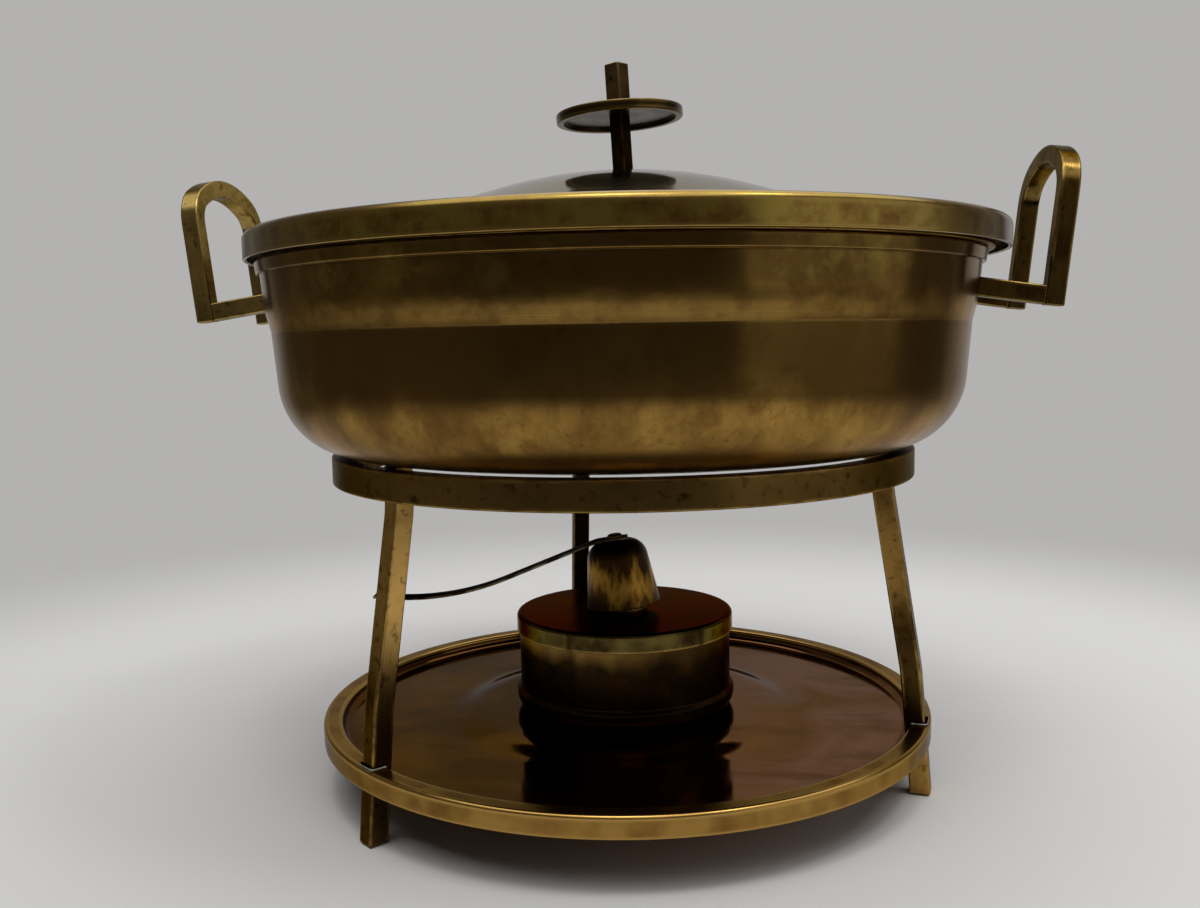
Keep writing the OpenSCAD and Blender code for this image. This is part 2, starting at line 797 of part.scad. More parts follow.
lid_shell();
lid_bezel();
finial_stem();
finial_disc();
finial_washer();
finial_screw();
pan_shell();
right_handle_arch();
left_handle_arch();
right_handle_bar_front();
right_handle_bar_back();
left_handle_bar_front();
left_handle_bar_back();
handle_rivets();
stand_ring();
leg_front_left();
leg_front_right();
leg_rear();
tray();
burner_body();
burner_wadding();
burner_cover();
wick_tube();
wick();
snuffer_cap();
snuffer_handle();
snuffer_rivet();
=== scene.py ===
import math

import bmesh
import bpy
from mathutils import Matrix, Vector, noise


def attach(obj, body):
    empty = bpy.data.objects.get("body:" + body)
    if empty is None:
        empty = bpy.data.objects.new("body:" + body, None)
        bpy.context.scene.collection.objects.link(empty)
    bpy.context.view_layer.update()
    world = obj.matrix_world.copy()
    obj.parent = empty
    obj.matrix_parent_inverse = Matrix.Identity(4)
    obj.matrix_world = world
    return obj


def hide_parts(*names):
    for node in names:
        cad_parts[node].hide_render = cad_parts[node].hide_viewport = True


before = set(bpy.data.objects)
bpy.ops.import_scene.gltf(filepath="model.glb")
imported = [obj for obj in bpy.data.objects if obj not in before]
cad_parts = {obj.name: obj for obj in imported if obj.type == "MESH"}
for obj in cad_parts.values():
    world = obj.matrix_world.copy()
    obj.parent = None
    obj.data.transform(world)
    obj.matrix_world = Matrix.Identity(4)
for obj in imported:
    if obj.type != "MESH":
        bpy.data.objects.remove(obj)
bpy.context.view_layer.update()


# Camera
# It stands a little lower than the pan's rim, close in front of the dish, where the eye of the photograph was.
# Its turn, tilt and focal length come from the circles of the lid, rim, ring, tray and burner.
photo_w, focal_px = 1200, 1146.7
dish_turn = math.radians(5.75)
yaw, pitch, roll = math.radians(-1.099), math.radians(-5.829), math.radians(-1.015)
turn = Matrix.Rotation(dish_turn, 3, "Z")
ahead = turn @ Vector((math.sin(yaw) * math.cos(pitch), math.cos(yaw) * math.cos(pitch), math.sin(pitch)))
level = turn @ Vector((math.cos(yaw), -math.sin(yaw), 0))
over = level.cross(ahead)
right = math.cos(roll) * level + math.sin(roll) * over
up = math.cos(roll) * over - math.sin(roll) * level
eye = turn @ Vector((0, -0.4187, 0.158))
lens = bpy.data.cameras.new("photo_eye")
lens.sensor_fit = "HORIZONTAL"
lens.sensor_width = 36
lens.lens = focal_px / photo_w * lens.sensor_width
lens.clip_start = 0.01
camera = bpy.data.objects.new("photo_eye", lens)
bpy.context.scene.collection.objects.link(camera)
camera.matrix_world = Matrix((
    (right.x, up.x, -ahead.x, eye.x),
    (right.y, up.y, -ahead.y, eye.y),
    (right.z, up.z, -ahead.z, eye.z),
    (0, 0, 0, 1),
))
bpy.context.scene.camera = camera
bpy.context.scene.view_settings.view_transform = "Standard"


# Floor, background and light
# A pale sheet of paper lies under the dish and fades into a pale background; the room before the dish is dim.
# One wide soft lamp hangs overhead and a window stands to the right, with a small ceiling lamp and a skylight
# that give the tray's edge and the right grip their glints.
def linear(hex_colour):
    """An sRGB hex colour as linear red, green, blue and alpha."""
    parts = [int(hex_colour[i:i + 2], 16) / 255 for i in (1, 3, 5)]
    return [c / 12.92 if c <= 0.04045 else ((c + 0.055) / 1.055) ** 2.4 for c in parts] + [1]


def add(tree, kind, *inputs, gives=None, **named):
    """Adds a shader node and returns the output or outputs named in gives, or else its first one in use.
    Inputs are filled in their order, or by name where it has a capital; other names are settings of the node.
    An output given as a value is linked, and a hex value is a colour."""
    node = tree.nodes.new("ShaderNode" + kind)
    for name, value in named.items():
        if name[0].islower():
            setattr(node, name, value)
    live = [socket for socket in node.inputs if socket.enabled]
    filled = list(zip(live, inputs))
    for name, value in named.items():
        if name[0].isupper():
            filled.append((next(s for s in live if s.name == name.replace("_", " ")), value))
    for socket, value in filled:
        if isinstance(value, bpy.types.NodeSocket):
            tree.links.new(value, socket)
        else:
            socket.default_value = linear(value) if isinstance(value, str) else value
    if isinstance(gives, str):
        return node.outputs[gives]
    if gives:
        return [node.outputs[name] for name in gives]
    return next((socket for socket in node.outputs if socket.enabled), None)


def blank(name):
    """A new material and its empty tree."""
    material = bpy.data.materials.new(name)
    material.use_nodes = True
    material.node_tree.nodes.clear()
    return material, material.node_tree


background, room_low, room_high, room_sides = "#b3b2b1", "#211f1b", "#67635b", "#5f5b53"
fill_light = (0.03, 0.03, 0.03, 1)
world = bpy.data.worlds.new("studio")
bpy.context.scene.world = world
world.use_nodes = True
sky = world.node_tree
sky.nodes.clear()
way = add(sky, "TexCoord", gives="Generated")
way_x, way_y, way_z = add(sky, "SeparateXYZ", way, gives=("X", "Y", "Z"))
seen_ray, glossy_ray, clear_ray = add(sky, "LightPath", gives=("Is Camera Ray", "Is Glossy Ray",
                                                               "Is Transmission Ray"))
# What metal mirrors: a dim room, dark below and grey above and at the sides, and the background behind the dish
to_top = add(sky, "MapRange", way_z, From_Min=-0.12, From_Max=0.06, interpolation_type="SMOOTHSTEP")
room = add(sky, "Mix", to_top, room_low, room_high, data_type="RGBA")
sideways = add(sky, "Math", way_x, operation="ABSOLUTE")
to_side = add(sky, "MapRange", sideways, From_Min=0.45, From_Max=0.95, interpolation_type="SMOOTHSTEP")
sides = add(sky, "Mix", to_side, room, room_sides, data_type="RGBA")
behind = add(sky, "MapRange", way_y, From_Min=0.55, From_Max=0.85, interpolation_type="SMOOTHSTEP")
mirrored = add(sky, "Mix", behind, sides, background, data_type="RGBA")
lit = add(sky, "Mix", glossy_ray, fill_light, mirrored, data_type="RGBA")
straight = add(sky, "Math", seen_ray, clear_ray, operation="MAXIMUM")
seen = add(sky, "Mix", straight, lit, background, data_type="RGBA")
add(sky, "OutputWorld", add(sky, "Background", seen))

paper_r, paper_sink = 1.6, 0.0005
fade_from, fade_to = 0.29, 0.58
floor_mesh = bpy.data.meshes.new("paper_floor")
shape = bmesh.new()
bmesh.ops.create_circle(shape, cap_ends=True, segments=96, radius=paper_r)
shape.to_mesh(floor_mesh)
shape.free()
floor = bpy.data.objects.new("paper_floor", floor_mesh)
bpy.context.scene.collection.objects.link(floor)
floor.location.z = -paper_sink
# Matt white paper that turns clear away from the dish, so that no horizon shows
paper, tree = blank("paper_floor_fading")
reach = add(tree, "VectorMath", add(tree, "TexCoord", gives="Object"), operation="LENGTH")
fade = add(tree, "MapRange", reach, From_Min=fade_from, From_Max=fade_to, interpolation_type="SMOOTHSTEP")
sheet = add(tree, "BsdfDiffuse", "#ebeae8")
gone = add(tree, "BsdfTransparent")
add(tree, "OutputMaterial", add(tree, "MixShader", fade, sheet, gone))
floor_mesh.materials.append(paper)

lamp_aim = Vector((0, 0, 0.1))
for name, place, size, watts in (
    ("overhead_softbox", (0.10, -0.05, 1.50), (2.8, 2.4), 28.0),
    ("window_right", (1.16, -0.46, 0.42), (1.40, 0.9), 1.7),
    ("ceiling_lamp", (0.02, -0.55, 1.60), (0.45, 0.35), 3.2),
    ("skylight_right", (0.69, -0.33, 1.45), (0.24, 0.20), 1.7),
):
    lamp = bpy.data.lights.new(name, "AREA")
    lamp.shape = "RECTANGLE"
    lamp.size, lamp.size_y = size
    lamp.energy = watts
    lamp_stand = bpy.data.objects.new(name, lamp)
    bpy.context.scene.collection.objects.link(lamp_stand)
    lamp_stand.location = place
    lamp_stand.rotation_euler = (lamp_aim - Vector(place)).to_track_quat("-Z", "Y").to_euler()


# Stand ring
# A hoop of flat brass bar, rolled round and brazed shut, that carries the pan on its top edge.
# It is turned here from its section, with the bar's rounded edges; sizes of pieces are in millimetres.
mm = 0.001
tiny = 1e-5
ring_in, ring_out = 97.23, 103.63
ring_low, ring_top = 109.1, 118.6
bar_edge = 0.6
worn, grimy = 1, -1


def eased(corners, closed=False, fade=0.8):
    """Rounds the corners (r, z, radius, mark) of an outline and returns its points (r, z, mark).
    Radius and mark may be left out where they are 0. The mark runs from worn, an edge rubbed bright, to grimy,
    a hollow full of dirt, and it fades out over a short way on the flats."""
    corners = [(*corner, 0, 0)[:4] for corner in corners]
    count = len(corners)
    room_to_fade = 2.2 * fade
    arc_step, least_steps = math.radians(4), 4
    spots = [Vector(c[:2]) for c in corners]
    ways, turns, cuts = [], [], []
    for i, corner in enumerate(corners):
        back, on = spots[i - 1] - spots[i], spots[(i + 1) % count] - spots[i]
        inner = closed or 0 < i < count - 1
        ways.append((back, on))
        turns.append(math.pi - back.angle(on) if inner else 0)
        cuts.append(corner[2] * math.tan(turns[-1] / 2))
    points = []
    for i, (r, z, radius, mark) in enumerate(corners):
        if cuts[i] < tiny:
            points.append((r, z, mark))
            continue
        back, on = ways[i]
        fades_back = mark and back.length - cuts[i] - cuts[i - 1] > room_to_fade
        fades_on = mark and on.length - cuts[i] - cuts[(i + 1) % count] > room_to_fade
        back.normalize()
        on.normalize()
        middle = spots[i] + (back + on).normalized() * (radius / math.cos(turns[i] / 2))
        first = spots[i] + back * cuts[i] - middle
        last = spots[i] + on * cuts[i] - middle
        start = math.atan2(first.y, first.x)
        swing = (math.atan2(last.y, last.x) - start + math.pi) % (2 * math.pi) - math.pi
        steps = max(least_steps, math.ceil(abs(swing) / arc_step))
        if fades_back:
            points.append((*(spots[i] + back * (cuts[i] + fade)), 0))
        for k in range(steps + 1):
            a = start + swing * k / steps
            points.append((middle.x + radius * math.cos(a), middle.y + radius * math.sin(a), mark))
        if fades_on:
            points.append((*(spots[i] + on * (cuts[i] + fade)), 0))
    return points


def shaped(name, verts, faces, normals, lay):
    """A smooth mesh object from vertices in millimetres, with its own normal at each corner of each face.
    lay holds for each vertex how far along and around the piece it is, in metres, and its mark."""
    mesh = bpy.data.meshes.new(name)
    mesh.from_pydata([[c * mm for c in v] for v in verts], [], faces)
    mesh.polygons.foreach_set("use_smooth", [True] * len(faces))
    mesh.attributes.new("lay", "FLOAT_VECTOR", "POINT").data.foreach_set("vector", [c for v in lay for c in v])
    mesh.normals_split_custom_set([n for face in normals for n in face])
    piece = bpy.data.objects.new(name, mesh)
    bpy.context.scene.collection.objects.link(piece)
    return piece


def turned(name, outline, closed=False, place=Matrix.Identity(4), steps=288):
    """A piece turned about Z from its outline of points (r, z, mark), moved by place.
    Its lay holds the way along the outline and the radius."""
    outline = [p for i, p in enumerate(outline)
               if (i == 0 and not closed) or math.dist(p[:2], outline[i - 1][:2]) > tiny]
    count = len(outline)
    runs = [(i, (i + 1) % count) for i in range(count if closed else count - 1)]
    area = sum(a[0] * b[1] - b[0] * a[1] for a, b in zip(outline, outline[1:] + outline[:1]))
    side = 1 if area > 0 else -1
    slopes = [Vector((0, 0)) for p in outline]
    along = [0.0]
    for i, j in runs:
        run = Vector(outline[j][:2]) - Vector(outline[i][:2])
        along.append(along[-1] + run.length * mm)
        for k in (i, j):
            slopes[k] += Vector((run.y, -run.x)) * side
    for point, slope in zip(outline, slopes):
        if point[0] < tiny:
            slope.x = 0
        slope.normalize()
    spin = place.to_3x3()
    verts, lay, index = [], [], {}
    for s in range(steps):
        a = 2 * math.pi * s / steps
        for i, (r, z, mark) in enumerate(outline):
            if r < tiny and s:
                index[s, i] = index[0, i]
                continue
            index[s, i] = len(verts)
            verts.append(place @ Vector((r * math.cos(a), r * math.sin(a), z)))
            lay.append((along[i], r * mm, mark))
    faces, normals = [], []
    for s in range(steps):
        t = (s + 1) % steps
        for i, j in runs:
            corners = [(s, i), (t, i), (t, j), (s, j)] if side > 0 else [(s, i), (s, j), (t, j), (t, i)]
            kept = list({index[c]: c for c in corners}.values())
            if len(kept) < 3:
                continue
            faces.append([index[c] for c in kept])
            normals.append([])
            for q, k in kept:
                a = 2 * math.pi * (s + 0.5 if outline[k][0] < tiny else q) / steps
                out = slopes[k].x
                normals[-1].append(spin @ Vector((out * math.cos(a), out * math.sin(a), slopes[k].y)))
    return shaped(name, verts, faces, normals, lay)


def laid(tree):
    """How far along and around its piece a point lies, in metres, and its mark."""
    lay = add(tree, "Attribute", gives="Vector", attribute_name="lay")
    return add(tree, "SeparateXYZ", lay, gives=("X", "Y", "Z"))


def surfaced(tree, colour, roughness, height, strength, depth, metallic=1.0, **more):
    """Ends a material with its shader, of this colour, roughness and more sockets, and a relief.
    The depth of the relief is in metres."""
    relief = add(tree, "Bump", Strength=strength, Distance=depth, Height=height)
    shader = add(tree, "BsdfPrincipled", Base_Color=colour, Metallic=metallic, Roughness=roughness,
                 Normal=relief, **more)
    add(tree, "OutputMaterial", shader)


def bar_brass(name, bright, patina, stain_and_shade, rubbed_gold, cloud, brown_from, rough, painted_shade_span=(0.9, 1.0, 1.1),
              sheen="#b4b0a8"):
    """Drawn brass bar: brown patina in clouds over gold, lengthwise draw marks, dark spots and rubbed edges.
    The span of painted shade gives how far along the bar, in metres, a dark film of painted shade begins,
    is darkest and ends; sheen is the tint of the glancing reflection."""
    material, tree = blank(name)
    where = add(tree, "TexCoord", gives="Object")
    along, around, mark = laid(tree)
    # Clouds of brown patina, as wide as cloud says
    clouds = add(tree, "TexNoise", where, Scale=1 / cloud, Detail=6, Roughness=0.62)
    browned = add(tree, "MapRange", clouds, From_Min=brown_from, From_Max=brown_from + 0.22)
    ground = add(tree, "Mix", browned, bright, patina, data_type="RGBA")
    # Draw marks some 40 mm long and 0.5 mm apart, coarser than the die leaves them so that they show
    long_way = add(tree, "Math", along, 1 / 0.040, operation="MULTIPLY")
    cross_way = add(tree, "Math", around, 1 / 0.0005, operation="MULTIPLY")
    drawn = add(tree, "CombineXYZ", long_way, cross_way)
    lines = add(tree, "TexNoise", drawn, Scale=1, Detail=3, Roughness=0.6, noise_dimensions="2D")
    scraped = add(tree, "MapRange", lines, From_Min=0.54, From_Max=0.74, To_Max=0.55)
    streaked = add(tree, "Mix", scraped, ground, bright, data_type="RGBA")
    # Dark spots 2 to 4 mm across
    specks = add(tree, "TexNoise", where, Scale=1 / 0.0032, Detail=4, Roughness=0.55)
    spotted = add(tree, "MapRange", specks, From_Min=0.56, From_Max=0.72, To_Max=0.85)
    dirty = add(tree, "Mix", spotted, streaked, stain_and_shade, data_type="RGBA")
    # Painted shade: a dark film along part of the bar, in the colour of the dark spots
    painted_shade_rise = add(tree, "MapRange", along, From_Min=painted_shade_span[0], From_Max=painted_shade_span[1], To_Max=0.9,
                interpolation_type="SMOOTHSTEP")
    painted_shade_end = add(tree, "MapRange", along, From_Min=painted_shade_span[2], From_Max=painted_shade_span[2] + 0.004, To_Min=1, To_Max=0)
    painted_shade_amount = add(tree, "Math", painted_shade_rise, painted_shade_end, operation="MULTIPLY")
    with_painted_shade = add(tree, "Mix", painted_shade_amount, dirty, stain_and_shade, data_type="RGBA")
    # Edges rubbed back to bright metal, in patches of about 8 mm
    patches = add(tree, "TexNoise", where, Scale=1 / 0.008, Detail=4)
    rubbed = add(tree, "MapRange", patches, From_Min=0.40, From_Max=0.66, To_Max=0.8)
    edge = add(tree, "Math", mark, rubbed, operation="MULTIPLY", use_clamp=True)
    done = add(tree, "Mix", edge, with_painted_shade, rubbed_gold, data_type="RGBA")
    dull = add(tree, "MapRange", clouds, From_Min=0.3, From_Max=0.7, To_Min=rough - 0.07, To_Max=rough + 0.1)
    pits = add(tree, "Math", spotted, -0.6, lines, operation="MULTIPLY_ADD")
    surfaced(tree, done, dull, pits, 0.5, 0.00006, Specular_Tint=sheen)
    return material


ring = turned("stand_ring_hoop", eased([
    (ring_in, ring_low, bar_edge, worn), (ring_out, ring_low, bar_edge, worn),
    (ring_out, ring_top, bar_edge, worn), (ring_in, ring_top, bar_edge, worn),
], closed=True), closed=True)
# Rolled brass bar, evenly browned: a dull dark gold with rubbed edges
ring.data.materials.append(bar_brass("rolled_brass_hoop_browned", "#8a6c38", "#644b27", "#3b2a13", "#a5854a",
                                     cloud=0.030, brown_from=0.36, rough=0.27))
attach(ring, "stand")
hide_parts("stand_ring")


# Legs
# Three legs of square brass bar, brazed inside the ring, bent twice and cut off flat at the table.
# Handling has rubbed their corners and the outer faces back to gold, a brown patina lies over them, and
# painted shade darkens the front legs low down and the whole rear leg.
leg_bar, leg_top, leg_r = 6.9, 118.8, 93.64
leg_top_run, leg_bend_r, leg_run, knee_h = 10.8, 40, 58.45, 41.1
leg_slope, foot_slope = math.radians(9), math.radians(4.8)
leg_degrees = {"leg_rear": 107, "leg_front_left": 227, "leg_front_right": 347}


def bent(start, heading, *steps):
    """The centre line of a bent bar in its plane, as points with headings.
    A step is (length,) or (radius, angle), where a positive angle turns left."""
    straight_step, arc_step = 5, math.radians(2.5)
    u, v = start
    line = [(u, v, heading)]
    for step in steps:
        if len(step) == 1:
            parts = max(1, round(step[0] / straight_step))
            for k in range(parts):
                u += step[0] / parts * math.cos(heading)
                v += step[0] / parts * math.sin(heading)
                line.append((u, v, heading))
            continue
        radius, angle = step
        way_round = 1 if angle > 0 else -1
        cu, cv = u - way_round * radius * math.sin(heading), v + way_round * radius * math.cos(heading)
        parts = max(3, math.ceil(abs(angle) / arc_step))
        for k in range(1, parts + 1):
            h = heading + angle * k / parts
            line.append((cu + way_round * radius * math.sin(h), cv - way_round * radius * math.cos(h), h))
        heading += angle
        u, v = line[-1][:2]
    return line


def swept(name, line, place, thick, wide, edge, cut_z=None):
    """A bar of rounded section swept along a line in a plane, its ends eased, moved by place.
    Where cut_z is given, the far end is cut off level at that height."""
    # The section: five points round each corner, and two that end the wear on each flat
    signs = ((1, -1), (1, 1), (-1, 1), (-1, -1))
    half_a, half_b = thick / 2 - edge, wide / 2 - edge
    wear_reach, wear_share = 0.6, 0.3
    wear_end = min(wear_reach, wear_share * min(thick, wide))
    section = []
    for k, (sa, sb) in enumerate(signs):
        for rise in (0, 22.5, 45, 67.5, 90):
            a = math.radians(90 * (k - 1) + rise)
            section.append((sa * half_a, sb * half_b, math.cos(a), math.sin(a), worn, 0))
        next_a, next_b = signs[(k + 1) % 4]
        flat = abs((next_a - sa) * half_a + (next_b - sb) * half_b)
        for slide in (wear_end, flat - wear_end):
            section.append((sa * half_a, sb * half_b, math.cos(a), math.sin(a), 0, slide))
    # The rings: eased in three steps at each end
    eases = [(1 - math.sin(p), 1 - math.cos(p), math.sin(p)) for p in map(math.radians, (84, 56, 28))]
    (u0, v0, h0), (u1, v1, h1) = line[0], line[-1]
    far = 0.0
    rings = []
    for lag, shrink, tip in eases + [(1, 0, 0)]:
        set_in = edge * lag
        rings.append((u0 + set_in * math.cos(h0), v0 + set_in * math.sin(h0), h0, edge * shrink, -tip, far))
    for point, next_point in zip(line, line[1:-1]):
        far += math.dist(point[:2], next_point[:2]) * mm
        rings.append((*next_point, 0, 0, far))
    far += math.dist(line[-2][:2], line[-1][:2]) * mm
    for lag, shrink, tip in [(1, 0, 0)] + eases[::-1]:
        set_in = edge * lag
        rings.append((u1 - set_in * math.cos(h1), v1 - set_in * math.sin(h1), h1, edge * shrink, tip, far))
    spin, across_plane = place.to_3x3(), Vector((0, 0, 1))
    verts, lay, slants = [], [], []
    for u, v, h, shrink, tip, along in rings:
        lead = Vector((math.cos(h), math.sin(h), 0))
        out = Vector((-math.sin(h), math.cos(h), 0))
        around, before = 0.0, None
        for ma, mb, na, nb, mark, slide in section:
            a = ma + edge * na - shrink * na - slide * nb
            b = mb + edge * nb - shrink * nb + slide * na
            spot = Vector((u, v, 0)) + out * a + across_plane * b
            if before is not None:
                around += (spot - before).length * mm
            before = spot
            here = place @ spot
            if cut_z is not None and along == far:
                lead_out = spin @ lead
                here = here + lead_out * ((cut_z + edge * (1 - tip) - here.z) / lead_out.z)
            verts.append(here)
            lay.append((along, around, max(mark, min(1, abs(tip) * 2))))
            side_way = out * na + across_plane * nb
            slants.append((spin @ (side_way * math.sqrt(1 - tip * tip) + lead * tip)).normalized())
    m = len(section)
    last = (len(rings) - 1) * m
    faces = []
    for k in range(0, last, m):
        for i in range(m):
            j = (i + 1) % m
            faces.append([k + j, k + m + j, k + m + i, k + i])
    normals = [[slants[c] for c in face] for face in faces]
    for first, way_out, h in ((0, -1, h0), (last, 1, h1)):
        faces.append(list(range(first, first + m))[::way_out])
        normals.append([spin @ Vector((way_out * math.cos(h), way_out * math.sin(h), 0))] * m)
    return shaped(name, verts, faces, normals, lay)


# Drawn square bar: gold under a thin brown film, with long pale scratches and spots, and a stretch above the
# tray darkened as painted shade
leg_finish = bar_brass("drawn_brass_bar_rubbed", "#b98f49", "#76552a", "#221505", "#b8924f",
                       cloud=0.018, brown_from=0.44, rough=0.25, painted_shade_span=(0.030, 0.066, 0.099))
# The front left leg is lighter at the top, and painted shade darkens it brown from halfway down to the table
foot_shade_finish = bar_brass("drawn_brass_bar_painted_foot_shade", "#d0a75f", "#8c6833", "#221608", "#a8834a",
                           cloud=0.018, brown_from=0.46, rough=0.25, painted_shade_span=(0.040, 0.074, 0.2))
# The rear leg stands behind the flame, in shade: the same bar, darkened nearly to black as painted shade
rear_shade_finish = bar_brass("drawn_brass_bar_painted_shade", "#5d4523", "#38260f", "#241707", "#7d6032",
                        cloud=0.018, brown_from=0.40, rough=0.30)
leg_line = bent((leg_r, leg_top), math.radians(-90), (leg_top_run,), (leg_bend_r, leg_slope), (leg_run,),
                (leg_bend_r, foot_slope - leg_slope), (knee_h / math.cos(foot_slope),))
for node, finish in (
    ("leg_rear", rear_shade_finish), ("leg_front_left", foot_shade_finish), ("leg_front_right", leg_finish),
):
    a = math.radians(leg_degrees[node])
    plane = Matrix(((math.cos(a), 0, math.sin(a), 0), (math.sin(a), 0, -math.cos(a), 0), (0, 1, 0, 0),
                    (0, 0, 0, 1)))
    leg = swept(node + "_bar", leg_line, plane, leg_bar, leg_bar, bar_edge, cut_z=0.0)
    leg.data.materials.append(finish)
    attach(leg, "stand")
    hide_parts(node)


# Tray
# A round tray of pressed sheet brass with a turned-over rim, brazed round the legs.
# A low boss in its floor carries the burner; years of spilt spirit and heat have tinted it.
tray_r, tray_in_r = 110.12, 103.32
tray_low, tray_top, tray_floor = 17.5, 24.6, 20.6
tray_sheet, tray_rim_r, tray_cove_r = 1.0, 1.2, 2.5
tray_cut_r, tray_fold_r = 0.35, 0.4
boss_r, boss_foot_r, boss_top, boss_ease = 55, 63, 22.6, 32
tray = turned("tray_pressed", eased([
    (0, boss_top), (boss_r, boss_top, boss_ease), (boss_foot_r, tray_floor, boss_ease),
    (tray_in_r, tray_floor, tray_cove_r, grimy), (tray_in_r, tray_top, tray_rim_r, worn),
    (tray_r, tray_top, tray_rim_r, worn), (tray_r, tray_low, tray_cut_r, worn),
    (tray_r - tray_sheet, tray_low, tray_cut_r), (tray_r - tray_sheet, tray_top - tray_sheet, tray_fold_r),
    (tray_in_r + tray_sheet, tray_top - tray_sheet, tray_fold_r),
    (tray_in_r + tray_sheet, tray_floor - tray_sheet, tray_cut_r),
    (boss_foot_r, tray_floor - tray_sheet, boss_ease), (boss_r, boss_top - tray_sheet, boss_ease),
    (0, boss_top - tray_sheet),
]), steps=360)


def lathe_rings(tree, along, apart, detail):
    """Fine rings left round a piece by spinning, turning or polishing, apart by a width in metres.
    They are drawn coarser than the real ones, so that they show."""
    row = add(tree, "Math", along, 1 / apart, operation="MULTIPLY")
    return add(tree, "TexNoise", add(tree, "CombineXYZ", row), Scale=1, Detail=detail, noise_dimensions="2D")


# Pressed and polished sheet: a dark mirror with a gold rim, yellow-brown on the left and rosy on the right as a
# painted reflection
tray_brass, tree = blank("pressed_brass_heat_tinted")
where = add(tree, "TexCoord", gives="Object")
along, radius, mark = laid(tree)
x = add(tree, "SeparateXYZ", where, gives="X")
# Tint clouds of about 40 mm
clouds = add(tree, "TexNoise", where, Scale=1 / 0.040, Detail=5, Roughness=0.58, Distortion=0.6)
warm = add(tree, "MapRange", clouds, From_Min=0.44, From_Max=0.70, To_Max=0.8)
# Painted reflection: yellow-brown towards the left side and rosy towards the right, across a cloudy boundary
side_way = add(tree, "Math", clouds, 0.10, x, operation="MULTIPLY_ADD")
side = add(tree, "MapRange", side_way, From_Max=0.13, interpolation_type="SMOOTHSTEP")
painted_side_reflection = add(tree, "Mix", side, "#593f1c", "#9c7259", data_type="RGBA")
floor_tint = add(tree, "Mix", warm, painted_side_reflection, "#7d561f", data_type="RGBA")
# Dark runs of spilt spirit, 50 mm long and 12 mm wide
runs = add(tree, "Mapping", where, Scale=(1 / 0.050, 1 / 0.012, 1 / 0.012))
spills = add(tree, "TexNoise", runs, Scale=1, Detail=4, Roughness=0.6)
dark_spills = add(tree, "MapRange", spills, From_Min=0.52, From_Max=0.76, To_Max=0.55)
browned = add(tree, "Mix", dark_spills, floor_tint, "#50331c", data_type="RGBA")
# The rim keeps its gold in patches of 14 mm, and the cove holds dirt
rim = add(tree, "MapRange", radius, From_Min=0.1030, From_Max=0.1042)
rim_patches = add(tree, "TexNoise", where, Scale=1 / 0.014, Detail=5)
rim_brown = add(tree, "MapRange", rim_patches, From_Min=0.42, From_Max=0.68)
rim_tint = add(tree, "Mix", rim_brown, "#a37f40", "#7d5b2b", data_type="RGBA")
both = add(tree, "Mix", rim, browned, rim_tint, data_type="RGBA")
grime = add(tree, "Math", mark, -0.7, operation="MULTIPLY", use_clamp=True)
dirty = add(tree, "Mix", grime, both, "#5c3b1c", data_type="RGBA")
edge = add(tree, "Math", mark, rim_patches, operation="MULTIPLY", use_clamp=True)
done = add(tree, "Mix", edge, dirty, "#c9a25a", data_type="RGBA")
dull = add(tree, "MapRange", spills, From_Min=0.3, From_Max=0.75, To_Min=0.05, To_Max=0.16)
rim_dull = add(tree, "Math", rim, 0.12, dull, operation="MULTIPLY_ADD")
surfaced(tree, done, rim_dull, lathe_rings(tree, along, 0.0004, 2), 0.25, 0.00001, Specular_Tint="#b8b8b8")
tray.data.materials.append(tray_brass)
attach(tray, "stand")
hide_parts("tray")


# Solder at the legs
# Where each leg passes through the tray's rim, a run of soft solder closes the joint round three sides.
# It was left as it flowed: a low, rounded, dull grey bead.
bead_d, bead_corner_r, bead_flat = 1.5, 1.0, 0.02
joint_r, joint_gap, bare_run = 105.02, 0.35, 2.4
half_leg = leg_bar / 2 + joint_gap
bead_in, bead_out = joint_r - half_leg + bare_run, joint_r + half_leg - bead_corner_r
bead_turn = (bead_corner_r, math.radians(90))
bead_line = bent((bead_in, -half_leg), 0, (bead_out - bead_in,), bead_turn, (2 * (half_leg - bead_corner_r),),
                 bead_turn, (bead_out - bead_in,))
# Tin-lead solder gone dull: brownish grey, softly rough, with dirt in its dips 2 mm apart
solder, tree = blank("soft_solder_dulled")
where = add(tree, "TexCoord", gives="Object")
lumps = add(tree, "TexNoise", where, Scale=1 / 0.0022, Detail=4)
tint = add(tree, "MapRange", lumps, From_Min=0.35, From_Max=0.65)
colour = add(tree, "Mix", tint, "#857b6a", "#bdb6a8", data_type="RGBA")
surfaced(tree, colour, 0.5, lumps, 0.6, 0.0002, metallic=0.3)
for node, degrees in leg_degrees.items():
    a = math.radians(degrees)
    flat_on = Matrix(((math.cos(a), -math.sin(a), 0, 0), (math.sin(a), math.cos(a), 0, 0), (0, 0, 1, tray_top),
                      (0, 0, 0, 1)))
    bead = swept(node + "_solder", bead_line, flat_on, bead_d, bead_d, bead_d / 2 - bead_flat)
    bead.data.materials.append(solder)
    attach(bead, "stand")


